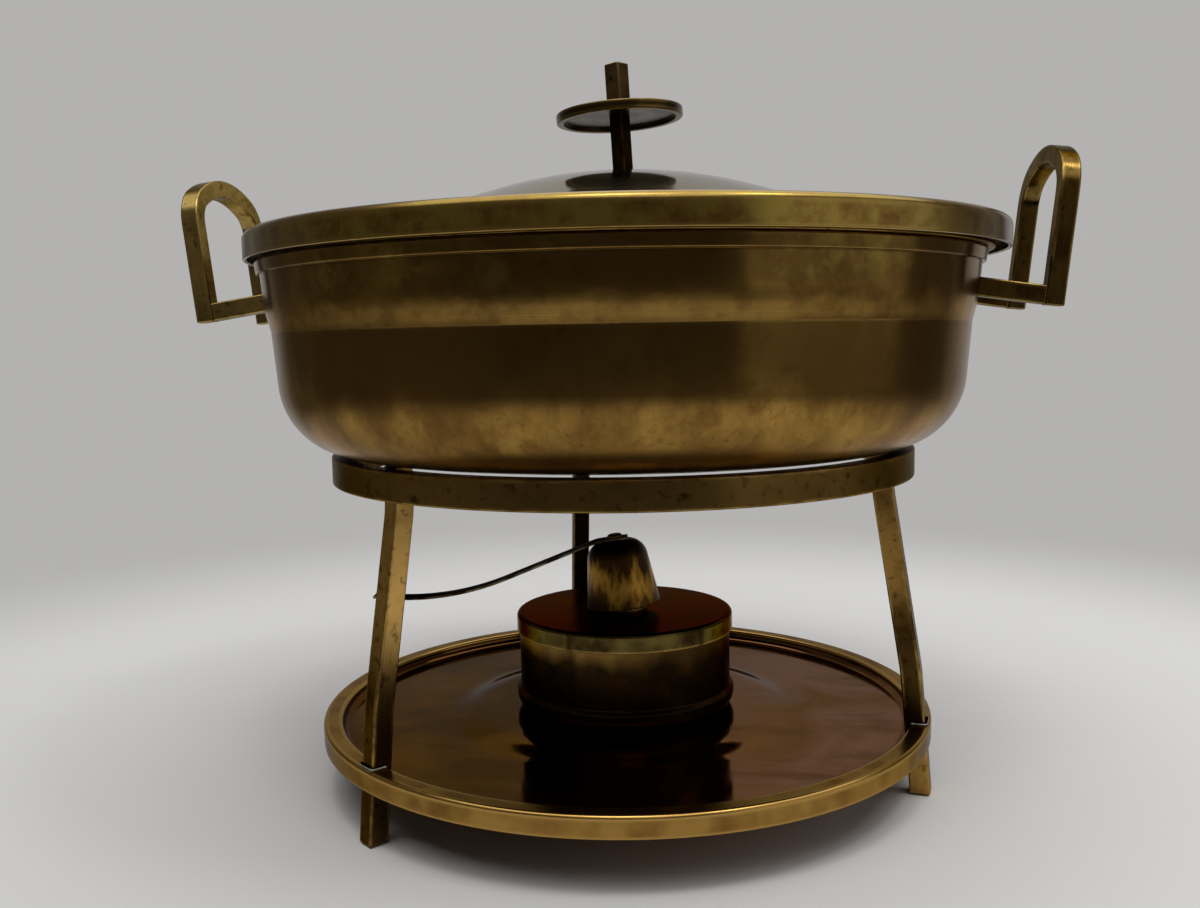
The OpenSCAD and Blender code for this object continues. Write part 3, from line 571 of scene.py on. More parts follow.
# Burner drum
# A shallow drum of drawn sheet brass with a bead round its foot, open at the top, that holds the spirit.
# Heat and soot have darkened it nearly to black, with a stained gold band under the cover.
burner_z, drum_top = 22.8, 56.8
drum_r, bead_r, drum_sheet = 38.8, 40.2, 0.7
bead_high, neck_z = 29.3, 30.7
drum_foot_ease, drum_well_ease, neck_ease, drum_edge = 5, 4, 0.5, 0.3
drum_in_r, drum_floor = drum_r - drum_sheet, burner_z + drum_sheet
drum = turned("burner_drum", eased([
    (0, burner_z), (bead_r, burner_z, drum_foot_ease), (bead_r, bead_high, neck_ease),
    (drum_r, neck_z, neck_ease, grimy), (drum_r, drum_top, drum_edge), (drum_in_r, drum_top, drum_edge),
    (drum_in_r, drum_floor, drum_well_ease), (0, drum_floor),
]))


def sooted_brass(name, gold_top, gold_low, shift):
    """Brass darkened by heat: near-black brown, with a stained gold band that is broken by drips.
    The band lies between two heights, in metres; shift moves the pattern, so that no two pieces are alike."""
    material, tree = blank(name)
    where = add(tree, "TexCoord", gives="Object")
    mark = laid(tree)[2]
    x, z = add(tree, "SeparateXYZ", where, gives=("X", "Z"))
    shifted = add(tree, "Mapping", where, Location=(shift, 0, 0))
    # Soot in clouds of 16 mm
    clouds = add(tree, "TexNoise", shifted, Scale=1 / 0.016, Detail=6, Roughness=0.6)
    sooted = add(tree, "MapRange", clouds, From_Min=0.36, From_Max=0.60)
    ground = add(tree, "Mix", sooted, "#49351a", "#281d0f", data_type="RGBA")
    # The gold band, strongest on the left, its lower edge broken by drips about 11 mm apart
    tall = add(tree, "Mapping", shifted, Scale=(1 / 0.011, 1 / 0.011, 1 / 0.06))
    drips = add(tree, "TexNoise", tall, Scale=1, Detail=4)
    sway = add(tree, "MapRange", drips, From_Min=0.3, From_Max=0.7, To_Min=-0.002, To_Max=0.002)
    height = add(tree, "Math", z, sway, operation="ADD")
    lower = add(tree, "MapRange", height, From_Min=gold_low - 0.003, From_Max=gold_low + 0.003)
    upper = add(tree, "MapRange", z, From_Min=gold_top, From_Max=gold_top + 0.0015, To_Min=1, To_Max=0)
    left = add(tree, "MapRange", x, From_Min=-0.006, From_Max=0.016, To_Min=1, To_Max=0.12)
    band = add(tree, "Math", lower, upper, operation="MULTIPLY")
    band_left = add(tree, "Math", band, left, operation="MULTIPLY")
    stained = add(tree, "Mix", band_left, ground, "#94733a", data_type="RGBA")
    edge = add(tree, "Math", mark, 0.75, operation="MULTIPLY", use_clamp=True)
    done = add(tree, "Mix", edge, stained, "#a98c4c", data_type="RGBA")
    # Grains of soot, 1 mm across
    grain = add(tree, "TexNoise", where, Scale=1 / 0.0011, Detail=3)
    dull = add(tree, "MapRange", clouds, From_Min=0.3, From_Max=0.7, To_Min=0.22, To_Max=0.36)
    surfaced(tree, done, dull, grain, 0.3, 0.00004, Specular_Tint="#a8a29c")
    return material


# Drawn brass baked by the flame: almost black, with a gold stain and drips below the cover
drum.data.materials.append(sooted_brass("drawn_brass_sooted_drum", gold_top=0.0512, gold_low=0.0478, shift=0.0))
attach(drum, "burner")
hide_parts("burner_body")


# Wadding
# Loose cotton wadding that fills the lower half of the drum and soaks up the spirit.
# It is pressed in by hand, so its top is lumpy, with a hollow round the wick tube.
wad_in, wad_out, wad_crown_r = 6.8, 38.0, 22
wad_low, wad_top, wad_fall = 23.6, 39.6, 1.5
wad_hole_ease, wad_foot_ease, wad_rim_ease, wad_crown_ease, wad_dip_ease = 0.6, 4.2, 4, 30, 2.5
wad = turned("cotton_wadding", eased([
    (wad_in, wad_low, wad_hole_ease), (wad_out, wad_low, wad_foot_ease),
    (wad_out, wad_top - wad_fall, wad_rim_ease), (wad_crown_r, wad_top, wad_crown_ease),
    (wad_in, wad_top - wad_fall, wad_dip_ease),
], closed=True), closed=True, steps=160)
firm_h, loosening_h = 6, 8
lump_size, lump_sink, lump_swing = 0.009, 0.8, 1.1
lump_falloff, lump_finer, lump_layers = 0.8, 2.1, 4
for v in wad.data.vertices:
    loose = min(1, max(0, (v.co.z / mm - wad_low - firm_h) / loosening_h))
    lump = noise.fractal(v.co / lump_size, lump_falloff, lump_finer, lump_layers)
    v.co.z -= max(0, lump_sink + lump_swing * lump) * mm * loose
# Cotton wool: matt off-white tufts of 6 mm yellowed by spirit, of hairs that are drawn coarse so that they show
cotton, tree = blank("cotton_wool_loose")
where = add(tree, "TexCoord", gives="Object")
tufts = add(tree, "TexNoise", where, Scale=1 / 0.006, Detail=6, Roughness=0.7)
hairs = add(tree, "TexNoise", where, Scale=1 / 0.0007, Detail=5, Distortion=2.5)
yellowed = add(tree, "MapRange", tufts, From_Min=0.35, From_Max=0.65)
colour = add(tree, "Mix", yellowed, "#b7a988", "#ded7c6", data_type="RGBA")
fluff = add(tree, "Math", tufts, hairs, operation="ADD")
surfaced(tree, colour, 0.95, fluff, 0.8, 0.0007, metallic=0, Sheen_Weight=0.4)
wad.data.materials.append(cotton)
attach(wad, "burner")
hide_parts("burner_wadding")


# Burner cover
# A shallow pressed brass lid that slips over the drum, with a hole for the wick tube.
# Its top is a dull mirror, baked red-brown by the flame; the skirt keeps some greenish gold.
cover_r, cover_top, cover_low, cover_hole = 39.8, 57.7, 50.9, 5.65
cover_in_r, cover_in_z = cover_r - drum_sheet, cover_top - drum_sheet
hole_edge, skirt_edge, cover_bend_r, cover_bend_in_r = 0.2, 0.25, 1.4, 0.7
cover = turned("burner_cover_pressed", eased([
    (cover_hole, cover_top, hole_edge), (cover_r, cover_top, cover_bend_r),
    (cover_r, cover_low, skirt_edge, 0.7 * worn), (cover_in_r, cover_low, skirt_edge),
    (cover_in_r, cover_in_z, cover_bend_in_r), (cover_hole, cover_in_z, hole_edge),
], closed=True), closed=True)
# Pressed brass under a baked film: red-brown mirror on top and olive gold on the skirt, with soot in clouds
# of 13 mm
cover_brass, tree = blank("pressed_brass_baked_cover")
where = add(tree, "TexCoord", gives="Object")
radius, mark = laid(tree)[1:]
clouds = add(tree, "TexNoise", where, Scale=1 / 0.013, Detail=6, Roughness=0.6)
baked = add(tree, "MapRange", clouds, From_Min=0.38, From_Max=0.64)
top_tint = add(tree, "Mix", baked, "#4a2b17", "#2c180c", data_type="RGBA")
side_tint = add(tree, "Mix", baked, "#5e5129", "#302511", data_type="RGBA")
skirt = add(tree, "MapRange", radius, From_Min=0.0388, From_Max=0.0396)
both = add(tree, "Mix", skirt, top_tint, side_tint, data_type="RGBA")
edge = add(tree, "Math", mark, 0.8, operation="MULTIPLY", use_clamp=True)
done = add(tree, "Mix", edge, both, "#b3924f", data_type="RGBA")
dull = add(tree, "MapRange", clouds, From_Min=0.3, From_Max=0.7, To_Min=0.13, To_Max=0.26)
surfaced(tree, done, dull, clouds, 0.2, 0.00004, Specular_Tint="#a89782")
cover.data.materials.append(cover_brass)
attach(cover, "cover")
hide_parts("burner_cover")


# Wick tube
# A short brass tube with a collar, soldered into the cover, that grips the wick.
# The flame has blackened its mouth.
tube_in, tube_out, tube_collar_r = 4.8, 5.6, 8.5
tube_low, tube_top, collar_t = 39.7, 68.2, 1.2
collar_top = cover_top + collar_t
tube_cut, tube_seat, collar_ease, mouth_ease = 0.2, 0.1, 0.4, 0.3
tube = turned("wick_tube_collared", eased([
    (tube_in, tube_low, tube_cut), (tube_out, tube_low, tube_cut), (tube_out, cover_top, tube_seat),
    (tube_collar_r, cover_top, tube_cut, worn), (tube_collar_r, collar_top, collar_ease, worn),
    (tube_out, collar_top, collar_ease, grimy), (tube_out, tube_top, mouth_ease, worn),
    (tube_in, tube_top, mouth_ease),
], closed=True), closed=True, steps=96)
# Turned brass, sooted from the mouth down, with a little gold left above the collar
tube.data.materials.append(sooted_brass("turned_brass_sooted_tube", gold_top=0.0620, gold_low=0.0560,
                                        shift=0.7))
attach(tube, "cover")
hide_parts("wick_tube")


# Wick
# A round braided cotton wick that fills the tube, hangs into the wadding and stands out at the top.
# Its strands cross in a diamond braid, and its top is burnt and frayed.
wick_r, wick_low, wick_top, wick_row = 4.75, 34.7, 71.7, 0.5
wick_foot_ease, wick_tip_ease, wick_tip_dip = 0.8, 1.6, 0.3
wick_rows = [(wick_r, wick_low + wick_row * k) for k in range(3, 69)]
wick = turned("cotton_wick_braided", eased([
    (0, wick_low), (wick_r, wick_low, wick_foot_ease), *wick_rows, (wick_r, wick_top, wick_tip_ease),
    (0, wick_top - wick_tip_dip),
]), steps=160)
braid_strands, braid_pitch, braid_dip = 8, 9.0, 0.22
fray_h, fray_drop, fray_size = 2.5, 1.2, 0.0012
for v in wick.data.vertices:
    a, high = math.atan2(v.co.y, v.co.x), v.co.z / mm
    lean = 2 * math.pi * high / braid_pitch / 4
    crossing = max(math.cos(braid_strands * (a + lean)), math.cos(braid_strands * (a - lean)), 0)
    out = Vector((v.co.x, v.co.y, 0))
    if out.length > tiny:
        v.co -= out.normalized() * min(braid_dip * (1 - crossing) * mm, out.length)
    if high > wick_top - fray_h:
        v.co.z -= (0.5 + 0.5 * noise.noise(v.co / fray_size)) * fray_drop * mm
# Braided cotton: off-white yarn with a twist of 0.5 mm, charred black over its last millimetres
yarn, tree = blank("braided_cotton_charred")
where = add(tree, "TexCoord", gives="Object")
z = add(tree, "SeparateXYZ", where, gives="Z")
twist = add(tree, "TexNoise", where, Scale=1 / 0.0005, Detail=4, Distortion=1.5)
yarn_tint = add(tree, "MapRange", twist, From_Min=0.3, From_Max=0.7)
colour = add(tree, "Mix", yarn_tint, "#a8997a", "#d8cfba", data_type="RGBA")
singe = add(tree, "TexNoise", where, Scale=1 / 0.003, Detail=3)
ragged = add(tree, "Math", singe, 0.005, z, operation="MULTIPLY_ADD")
burnt = add(tree, "MapRange", ragged, From_Min=0.0665, From_Max=0.0705)
charred = add(tree, "Mix", burnt, colour, "#1b1713", data_type="RGBA")
surfaced(tree, charred, 0.92, twist, 0.7, 0.0003, metallic=0, Sheen_Weight=0.25)
wick.data.materials.append(yarn)
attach(wick, "cover")
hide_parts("wick")


# Snuffer cap
# A drawn brass thimble that is set over the wick to put the flame out; it leans under its handle's weight.
# Soot has run down from its top over a streaked gold side.
cap_r, cap_top_r, cap_z, cap_h, cap_sheet = 13.6, 10.35, 57.9, 24, 1.0
cap_crown_ease, cap_lip = 7, 0.4
cap_lean, snuffer_turn = math.radians(-7), math.radians(6)
on_snuffer = (Matrix.Rotation(snuffer_turn, 4, "Z") @ Matrix.Translation((-cap_r, 0, cap_z))
              @ Matrix.Rotation(cap_lean, 4, "Y") @ Matrix.Translation((cap_r, 0, 0)))


def backed(corners, thick):
    """The inner side of a sheet's outline, thick to the right of it, listed backwards."""
    least_r = 0.2
    spots = [Vector(c[:2]) for c in corners]
    ways = [(b - a).normalized() for a, b in zip(spots, spots[1:])]
    inner = []
    for i, corner in enumerate(corners):
        first, last = ways[max(0, i - 1)], ways[min(i, len(ways) - 1)]
        n1, n2 = Vector((first.y, -first.x)), Vector((last.y, -last.x))
        moved = spots[i] + (n1 + n2) / (1 + n1.dot(n2)) * thick
        turns_left = first.x * last.y - first.y * last.x > 0
        radius = (*corner, 0)[2] + (thick if turns_left else -thick)
        inner.append((max(0, moved.x), moved.y, max(least_r, radius)))
    return inner[::-1]


cap_outside = [(0, cap_h), (cap_top_r, cap_h, cap_crown_ease), (cap_r, 0, cap_lip, worn)]
cap_inside = [(cap_r - cap_sheet, 0, cap_lip)] + backed(cap_outside, cap_sheet)[1:]
cap = turned("snuffer_cap_drawn", eased(cap_outside + cap_inside), place=on_snuffer, steps=160)
# Drawn brass with soot: gold streaked brown down its side in drips 6 mm wide, dark over the top, and darkened
# at the foot as painted shade
cap_brass, tree = blank("drawn_brass_streaked_soot")
where = add(tree, "TexCoord", gives="Object")
along = laid(tree)[0]
tall = add(tree, "Mapping", where, Scale=(1 / 0.0065, 1 / 0.0065, 1 / 0.026))
drips = add(tree, "TexNoise", tall, Scale=1, Detail=5, Roughness=0.6)
down = add(tree, "MapRange", drips, From_Min=0.3, From_Max=0.7, To_Min=-0.009, To_Max=0.009)
depth = add(tree, "Math", along, down, operation="ADD")
gold_from = add(tree, "MapRange", depth, From_Min=0.0150, From_Max=0.0220)
# Painted shade: the gold fades out towards the foot
gold_into_foot_shade = add(tree, "MapRange", depth, From_Min=0.0235, From_Max=0.0300, To_Min=1, To_Max=0.12)
gold = add(tree, "Math", gold_from, gold_into_foot_shade, operation="MULTIPLY")
clouds = add(tree, "TexNoise", where, Scale=1 / 0.008, Detail=5)
browned = add(tree, "Mix", clouds, "#d6a446", "#8f6526", data_type="RGBA")
done = add(tree, "Mix", gold, "#432b12", browned, data_type="RGBA")
dull = add(tree, "MapRange", gold, To_Min=0.46, To_Max=0.42)
surfaced(tree, done, dull, drips, 0.4, 0.00012)
cap.data.materials.append(cap_brass)
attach(cap, "snuffer")
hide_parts("snuffer_cap")


# Snuffer handle
# A strip of thin brass, riveted to the cap's top, sloping down to the left and curling up at its tip.
# Its faces are black with soot, and some gold shows along its cut edges.
strip_t, strip_w, strip_edge = 0.9, 7.0, 0.25
strip_start, strip_flat, strip_run, strip_tip = 4.8, 9.1, 34.5, 5.3
strip_bend_r, strip_fall = 18, math.radians(14.5)
strip_curl_r, strip_curl = 96.5, math.radians(-26.5)
strip_line = bent((strip_start, cap_h + strip_t / 2), math.radians(180), (strip_flat,),
                  (strip_bend_r, strip_fall), (strip_run,), (strip_curl_r, strip_curl), (strip_tip,))
upright = Matrix(((1, 0, 0, 0), (0, 0, -1, 0), (0, 1, 0, 0), (0, 0, 0, 1)))
strip = swept("snuffer_strip", strip_line, on_snuffer @ upright, strip_t, strip_w, strip_edge)
# Rolled brass strip, sooted: near-black faces and a thin, broken gold line along each edge
strip.data.materials.append(bar_brass("rolled_brass_strip_sooted", "#57401f", "#2b1c0c", "#1d1307", "#f6e4b8",
                                      cloud=0.012, brown_from=0.34, rough=0.34, sheen="#4a4036"))
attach(strip, "snuffer")
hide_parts("snuffer_handle")


# Snuffer rivet
# One brass rivet that holds the strip to the cap's top.
# It passes through both, hammered to a low dome outside and left flat inside.
rivet_r, head_r, head_t = 1.2, 2.8, 1.3
rivet_flat_edge, rivet_bed, rivet_dome = 0.3, 0.2, 1.0
rivet_low, rivet_high = cap_h - cap_sheet - head_t, cap_h + strip_t
rivet = turned("snuffer_rivet_domed", eased([
    (0, rivet_low), (head_r, rivet_low, rivet_flat_edge), (head_r, rivet_low + head_t, rivet_bed),
    (rivet_r, rivet_low + head_t, rivet_bed), (rivet_r, rivet_high, rivet_bed), (head_r, rivet_high, rivet_bed),
    (head_r, rivet_high + head_t, rivet_dome, worn), (0, rivet_high + head_t),
]), place=on_snuffer, steps=64)
# Hammered brass, sooted: brown with small clouds, rubbed a little on the dome
rivet.data.materials.append(bar_brass("hammered_brass_rivet_sooted", "#8a6a36", "#3f2a13", "#2a1b0b", "#a98446",
                                      cloud=0.004, brown_from=0.38, rough=0.36))
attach(rivet, "snuffer")
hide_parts("snuffer_rivet")


# Pan
# A wide shallow pan spun from sheet brass: a flat bottom, a large round corner, an upright wall, a crease,
# a flaring upper wall and a thin band round the rim. It rests loose on the ring.
pan_z, rim_z, rim_r = 119.0, 184.6, 126.5
band_h, band_lip, pan_sheet = 4.3, 1.2, 1.5
crease_z, crease_r, crease_ease = 161.5, 121.8, 0.8
mouth_slope, mouth_r = 0.1515, rim_r - band_lip
band_z, band_r = rim_z - band_h, mouth_r - band_h * mouth_slope
corner_foot_r, pan_corner_r = 118.2, 26
flare_out_r, flare_top_z, flare_ease = 123.6, 168.5, 30
band_hollow, band_edge, rim_edge, mouth_edge = 0.3, 0.5, 0.7, 0.5
pan = turned("pan_spun", eased([
    (0, pan_z), (corner_foot_r, pan_z, pan_corner_r), (crease_r, crease_z, crease_ease, 0.35 * worn),
    (flare_out_r, flare_top_z, flare_ease), (band_r, band_z, band_hollow, 0.6 * grimy),
    (band_r + band_lip, band_z, band_edge, 0.15 * worn), (rim_r, rim_z, rim_edge, 0.15 * worn),
    (mouth_r - pan_sheet, rim_z, mouth_edge, 0.5 * worn), (flare_out_r - pan_sheet, flare_top_z, flare_ease),
    (crease_r - pan_sheet, crease_z, crease_ease),
    (corner_foot_r - pan_sheet, pan_z + pan_sheet, pan_corner_r - pan_sheet), (0, pan_z + pan_sheet),
], fade=0.4), steps=360)
# Spun brass, satin from the lathe: fine rings and brown clouds, painted reflections as a dark belt below the
# crease and a pale, broken one above it, olive patches on the upper wall, a gold belly and a sooted bottom
pan_brass, tree = blank("spun_brass_satin_tarnished")
where = add(tree, "TexCoord", gives="Object")
along, radius, mark = laid(tree)
z = add(tree, "SeparateXYZ", where, gives="Z")
# Tarnish in upright clouds some 25 mm wide and 60 mm high, as it was wiped and drained
wiped = add(tree, "Mapping", where, Scale=(1 / 0.025, 1 / 0.025, 1 / 0.060))
clouds = add(tree, "TexNoise", wiped, Scale=1, Detail=6, Roughness=0.6)
browned = add(tree, "MapRange", clouds, From_Min=0.36, From_Max=0.66)
ground = add(tree, "Mix", browned, "#a68241", "#6e5025", data_type="RGBA")
# Mottling of about 7 mm and fine specks of 1 mm
mottle = add(tree, "TexNoise", where, Scale=1 / 0.007, Detail=5, Roughness=0.65)
mottled = add(tree, "MapRange", mottle, From_Min=0.49, From_Max=0.70, To_Max=0.7)
blotched = add(tree, "Mix", mottled, ground, "#6a4a24", data_type="RGBA")
specks = add(tree, "TexNoise", where, Scale=1 / 0.0014, Detail=2)
speckled = add(tree, "MapRange", specks, From_Min=0.62, From_Max=0.74, To_Max=0.5)
dotted = add(tree, "Mix", speckled, blotched, "#4f3518", data_type="RGBA")
# Painted reflection: a dark brown belt under the crease, with a wavy lower edge above the gold belly
wavy = add(tree, "MapRange", clouds, From_Min=0.3, From_Max=0.7, To_Min=-0.010, To_Max=0.010)
wavy_z = add(tree, "Math", z, wavy, operation="ADD")
belt_low = add(tree, "MapRange", wavy_z, From_Min=0.132, From_Max=0.148, interpolation_type="SMOOTHSTEP")
belt_high = add(tree, "MapRange", z, From_Min=0.1605, From_Max=0.1625, To_Min=0.7, To_Max=0)
dark_reflection_belt = add(tree, "Math", belt_low, belt_high, operation="MULTIPLY")
with_dark_reflection = add(tree, "Mix", dark_reflection_belt, dotted, "#5f4622", data_type="RGBA")
# A browner upper wall with olive-gold patches of some 18 mm
upper = add(tree, "MapRange", z, From_Min=0.167, From_Max=0.174, To_Max=0.55, interpolation_type="SMOOTHSTEP")
shaded = add(tree, "Mix", upper, with_dark_reflection, "#554020", data_type="RGBA")
patches = add(tree, "TexNoise", where, Scale=1 / 0.018, Detail=7, Roughness=0.7)
olive = add(tree, "MapRange", patches, From_Min=0.52, From_Max=0.64)
olive_up = add(tree, "Math", olive, upper, operation="MULTIPLY")
patched = add(tree, "Mix", olive_up, shaded, "#9a8440", data_type="RGBA")
# Painted reflection: a paler belt where the flare leaves the crease, broken by the mottling and uneven along
# its upper edge
uneven_z = add(tree, "Math", patches, 0.016, z, operation="MULTIPLY_ADD")
pale_low = add(tree, "MapRange", z, From_Min=0.1615, From_Max=0.1635, To_Max=0.8)
pale_high = add(tree, "MapRange", uneven_z, From_Min=0.1735, From_Max=0.1775, To_Min=1, To_Max=0)
pale_spots = add(tree, "MapRange", mottle, From_Min=0.38, From_Max=0.60, To_Min=1, To_Max=0.4)
pale_wide = add(tree, "Math", pale_low, pale_high, operation="MULTIPLY")
painted_pale_reflection = add(tree, "Math", pale_wide, pale_spots, operation="MULTIPLY")
with_pale_reflection = add(tree, "Mix", painted_pale_reflection, patched, "#bf9850", data_type="RGBA")
# Rubbed gold on the crease and the rim's edges, dirt under the band
rub = add(tree, "MapRange", mottle, From_Min=0.35, From_Max=0.55, To_Min=0.25)
edge = add(tree, "Math", mark, rub, operation="MULTIPLY", use_clamp=True)
gilded = add(tree, "Mix", edge, with_pale_reflection, "#caa45c", data_type="RGBA")
grime = add(tree, "Math", mark, -0.8, operation="MULTIPLY", use_clamp=True)
dirty = add(tree, "Mix", grime, gilded, "#33220f", data_type="RGBA")
# Soot of the flame under the flat bottom, thinning out towards the round corner
under = add(tree, "MapRange", z, From_Min=0.1195, From_Max=0.1203, To_Min=1, To_Max=0)
sooty_r = add(tree, "Math", mottle, 0.02, radius, operation="MULTIPLY_ADD")
sooty = add(tree, "MapRange", sooty_r, From_Min=0.094, From_Max=0.110, To_Min=1, To_Max=0)
soot = add(tree, "Math", under, sooty, operation="MULTIPLY")
done = add(tree, "Mix", soot, dirty, "#14100c", data_type="RGBA")
dull = add(tree, "MapRange", clouds, From_Min=0.3, From_Max=0.7, To_Min=0.18, To_Max=0.27)
matt = add(tree, "Math", soot, 0.5, dull, operation="MULTIPLY_ADD")
round_way = add(tree, "Tangent", direction_type="RADIAL", axis="Z")
surfaced(tree, done, matt, lathe_rings(tree, along, 0.0006, 3), 0.35, 0.00002, Anisotropic=0.82,
         Anisotropic_Rotation=0.25, Tangent=round_way, Specular_Tint="#e4dcd4")
pan.data.materials.append(pan_brass)
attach(pan, "pan")
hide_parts("pan_shell")


# Handles
# Each handle is an arch of square brass bar, its feet brazed to short bars that are riveted to the pan's wall.
# The arches lean outwards, the right one a little taller, and hands have worn their edges.
handle_bar, half_span, handle_r = 6.2, 25.5, 144.5
foot_z, grip_lean = 168.6, math.radians(6.2)
grip_bow, grip_corner_r, grip_crown_r = 14.5, 11, 42.786
corner_turn, crown_turn = math.radians(62.86), math.radians(54.28)
bar_wall_x, bar_wall_z, bar_slope, bar_len = 119.95, 172.3, math.radians(8.6), 21.9
across = Matrix(((0, 0, 1, 0), (1, 0, 0, 0), (0, 1, 0, 0), (0, 0, 0, 1)))
stub_line = bent((bar_wall_x, bar_wall_z), -bar_slope, (bar_len,))
# Drawn bar, smooth from handling: the right handle brown, the left one a lighter olive, both with gold corners
right_finish = bar_brass("drawn_brass_bar_handled_brown", "#7c6231", "#503d1d", "#302411", "#a48a50",
                         cloud=0.016, brown_from=0.40, rough=0.20)
left_finish = bar_brass("drawn_brass_bar_handled_olive", "#b2965a", "#85703f", "#4a3c20", "#bda063",
                        cloud=0.016, brown_from=0.40, rough=0.22)
for side_name, half_turn, grip_h, finish, front_y in (
    ("right", 0, 51.6, right_finish, -half_span), ("left", math.pi, 49.4, left_finish, half_span),
):
    facing = Matrix.Rotation(half_turn, 4, "Z")
    on_grip = facing @ Matrix.Translation((handle_r, 0, foot_z)) @ Matrix.Rotation(grip_lean, 4, "Y")
    rise = grip_h - grip_bow
    arch_line = bent((half_span, -handle_bar / 2), math.radians(90), (rise,), (grip_corner_r, corner_turn),
                     (grip_crown_r, crown_turn), (grip_corner_r, corner_turn), (rise,))
    arch = swept(side_name + "_handle_grip", arch_line, on_grip @ across, handle_bar, handle_bar, bar_edge)
    arch.data.materials.append(finish)
    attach(arch, "pan")
    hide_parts(side_name + "_handle_arch")
    for end, y in (("front", front_y), ("back", -front_y)):
        beside = facing @ Matrix.Translation((0, y, 0)) @ upright
        stub = swept(side_name + "_handle_stub_" + end, stub_line, beside, handle_bar, handle_bar, bar_edge)
        stub.data.materials.append(finish)
        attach(stub, "pan")
        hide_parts(side_name + "_handle_bar_" + end)


# Rivets, washer and screw
# Four brass rivets pass through the pan's wall into the handles' bars, with flat heads inside the pan.
# A screw with a washer comes up through the lid's crown into the finial's stem. They are turned from brass rod.
# Turned brass kept bright by scouring: gold in clouds of 4 mm, with scratches drawn coarse so that they show
scoured, tree = blank("turned_brass_scoured")
where = add(tree, "TexCoord", gives="Object")
clouds = add(tree, "TexNoise", where, Scale=1 / 0.004, Detail=4)
colour = add(tree, "Mix", clouds, "#b8924c", "#80602f", data_type="RGBA")
scratches = add(tree, "TexNoise", where, Scale=1 / 0.0006, Detail=4, Distortion=1)
dull = add(tree, "MapRange", clouds, From_Min=0.3, From_Max=0.7, To_Min=0.24, To_Max=0.36)
surfaced(tree, colour, dull, scratches, 0.3, 0.00005)
for node in ("handle_rivets", "finial_washer", "finial_screw"):
    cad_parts[node].data.materials.clear()
    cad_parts[node].data.materials.append(scoured)


# Lid
# A shallow ogee lid spun from sheet brass: a flat shoulder, a turned-down band and a low polished crown.
# It lies loose on the rim, a little to the right of the pan's centre.
lid_slip = 2.1
lid_r, lid_low, shoulder_z, crown_z = 131.8, 184.8, 194.0, 215.9
lid_sheet, lid_corner_r, lid_cut_r = 1.3, 2.5, 0.45
crown_foot_r, lid_crown_r = 33.81, 170
flare_foot_r, flare_r = 86.69, 117.7
on_lid = Matrix.Translation((lid_slip, 0, 0))
lid_outside = [
    (0, crown_z), (crown_foot_r, crown_z, lid_crown_r), (flare_foot_r, shoulder_z, flare_r),
    (lid_r, shoulder_z, lid_corner_r, 0.25 * worn), (lid_r, lid_low, lid_cut_r, 0.4 * worn),
]
lid_inside = [(lid_r - lid_sheet, lid_low, lid_cut_r)] + backed(lid_outside, lid_sheet)[1:]
lid = turned("lid_spun", eased(lid_outside + lid_inside), place=on_lid, steps=360)
# Spun brass, polished: a clear mirror on the crown, and a duller olive-gold band with reddish blotches of 9 mm
lid_brass, tree = blank("spun_brass_polished")
where = add(tree, "TexCoord", gives="Object")
along, radius, mark = laid(tree)
clouds = add(tree, "TexNoise", where, Scale=1 / 0.030, Detail=5, Roughness=0.6)
browned = add(tree, "MapRange", clouds, From_Min=0.38, From_Max=0.66)
crown_tint = add(tree, "Mix", browned, "#a8945f", "#94814f", data_type="RGBA")
blotch = add(tree, "TexNoise", where, Scale=1 / 0.009, Detail=6, Roughness=0.65)
reddened = add(tree, "MapRange", blotch, From_Min=0.44, From_Max=0.68)
band_tint = add(tree, "Mix", reddened, "#98803f", "#6f4f26", data_type="RGBA")
band = add(tree, "MapRange", radius, From_Min=0.1280, From_Max=0.1312)
both = add(tree, "Mix", band, crown_tint, band_tint, data_type="RGBA")
rub = add(tree, "MapRange", blotch, From_Min=0.35, From_Max=0.6)
edge = add(tree, "Math", mark, rub, operation="MULTIPLY", use_clamp=True)
done = add(tree, "Mix", edge, both, "#c9a961", data_type="RGBA")
crown_dull = add(tree, "MapRange", clouds, From_Min=0.3, From_Max=0.7, To_Min=0.07, To_Max=0.13)
dull = add(tree, "Math", band, 0.15, crown_dull, operation="MULTIPLY_ADD")
surfaced(tree, done, dull, lathe_rings(tree, along, 0.0005, 2), 0.2, 0.00001, Specular_Tint="#f2f6ff")
lid.data.materials.append(lid_brass)
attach(lid, "lid")
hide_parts("lid_shell")


# Lid bezel
# A hoop of sheet brass soldered under the lid, where no eye sees it.
# It drops inside the pan's rim and keeps the lid from sliding off.
bezel_r, bezel_sheet, bezel_drop, bezel_edge = 120.19, 1.2, 6, 0.3
bezel_in, bezel_low, bezel_top = bezel_r - bezel_sheet, lid_low - bezel_drop, shoulder_z - lid_sheet
seat_top = lid_low + bezel_sheet
bezel = turned("lid_bezel_hoop", eased([
    (bezel_in, bezel_low, bezel_edge, worn), (bezel_r, bezel_low, bezel_edge, worn),
    (bezel_r, lid_low, bezel_edge), (rim_r, lid_low, bezel_edge), (rim_r, seat_top, bezel_edge),
    (bezel_r, seat_top, bezel_edge, grimy), (bezel_r, bezel_top, bezel_edge), (bezel_in, bezel_top, bezel_edge),
], closed=True), closed=True, place=on_lid)
# Rolled sheet brass, steamed dull: even brown-gold with rubbed lower edges
bezel.data.materials.append(bar_brass("rolled_sheet_brass_steamed", "#a98546", "#7d5e30", "#4a3519", "#c29b55",
                                      cloud=0.020, brown_from=0.40, rough=0.32))
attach(bezel, "lid")
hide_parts("lid_bezel")


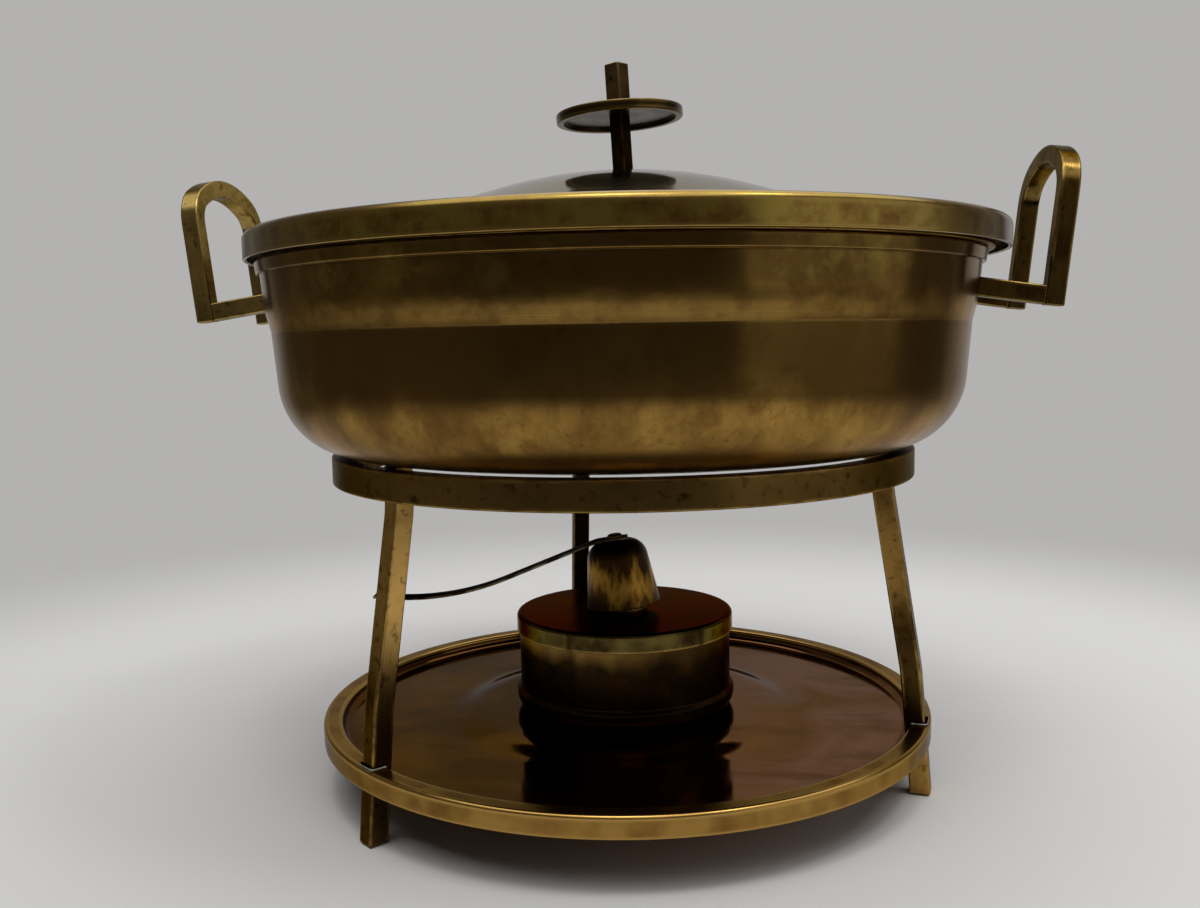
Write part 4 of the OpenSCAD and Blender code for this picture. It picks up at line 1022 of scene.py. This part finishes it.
# Finial stem
# A short square brass bar that stands on the crown, a little out of true, held by a screw from inside the lid.
# Its neck passes through the disc, and the thicker part above sits on it as a shoulder.
stem_h, stem_bar, stem_neck, stem_edge = 38.3, 6.2, 5.4, 0.5
stem_sink, neck_lap = 0.3, 1
stem_lean, stem_turn = math.radians(-3), math.radians(56)
disc_low, disc_top, disc_r = 18.4, 21.8, 22.5
on_stem = Matrix.Translation((lid_slip, 0, crown_z)) @ Matrix.Rotation(stem_lean, 4, "Y")
along_z = on_stem @ Matrix.Rotation(stem_turn, 4, "Z") @ upright
# Drawn square bar, browned by touch: dark brown with gold corners
stem_finish = bar_brass("drawn_brass_bar_finial", "#7a6440", "#503d24", "#2b1e10", "#8f7444",
                        cloud=0.012, brown_from=0.38, rough=0.28)
# The same bar under the disc, in darker colours: nearly black
neck_finish = bar_brass("drawn_brass_bar_blackened", "#3f2f19", "#251a0c", "#160f07", "#5d4827",
                        cloud=0.012, brown_from=0.38, rough=0.30)
neck_line = bent((0, -stem_sink), math.radians(90), (disc_top + neck_lap,))
top_line = bent((0, disc_top), math.radians(90), (stem_h - disc_top,))
neck = swept("finial_stem_neck", neck_line, along_z, stem_neck, stem_neck, stem_edge)
stem = swept("finial_stem_top", top_line, along_z, stem_bar, stem_bar, stem_edge)
for piece, finish in ((neck, neck_finish), (stem, stem_finish)):
    piece.data.materials.append(finish)
    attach(piece, "lid")
    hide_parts("finial_stem")


# Finial disc
# A turned brass disc with a dished underside, threaded on the stem as the lid's grip.
# Its underside is satin from the lathe, and its rim is browned by fingers.
disc_dish, disc_lip, disc_edge = 1.4, 2.5, 0.6
dish_hollow, lip_edge = 0.4, 0.3
disc = turned("finial_disc_turned", eased([
    (0, disc_low + disc_dish), (disc_r - disc_lip, disc_low + disc_dish, dish_hollow, grimy),
    (disc_r - disc_lip, disc_low, lip_edge, worn), (disc_r, disc_low, disc_edge, worn),
    (disc_r, disc_top, disc_edge, worn), (0, disc_top),
]), place=on_stem, steps=192)
# Turned brass, satin: dark greyish faces and a dark brown-gold rim, with tarnish in clouds of 10 mm
disc_brass, tree = blank("turned_brass_satin_disc")
where = add(tree, "TexCoord", gives="Object")
along, radius, mark = laid(tree)
clouds = add(tree, "TexNoise", where, Scale=1 / 0.010, Detail=6, Roughness=0.62)
browned = add(tree, "MapRange", clouds, From_Min=0.38, From_Max=0.64)
face_tint = add(tree, "Mix", browned, "#3f392f", "#2d271f", data_type="RGBA")
rim_tint = add(tree, "Mix", browned, "#42351c", "#261b0c", data_type="RGBA")
rim = add(tree, "MapRange", radius, From_Min=0.0216, From_Max=0.0222)
both = add(tree, "Mix", rim, face_tint, rim_tint, data_type="RGBA")
edge = add(tree, "Math", mark, clouds, operation="MULTIPLY", use_clamp=True)
done = add(tree, "Mix", edge, both, "#8f7541", data_type="RGBA")
dull = add(tree, "MapRange", clouds, From_Min=0.3, From_Max=0.7, To_Min=0.24, To_Max=0.36)
surfaced(tree, done, dull, lathe_rings(tree, along, 0.0004, 2), 0.35, 0.00003)
disc.data.materials.append(disc_brass)
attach(disc, "lid")
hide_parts("finial_disc")
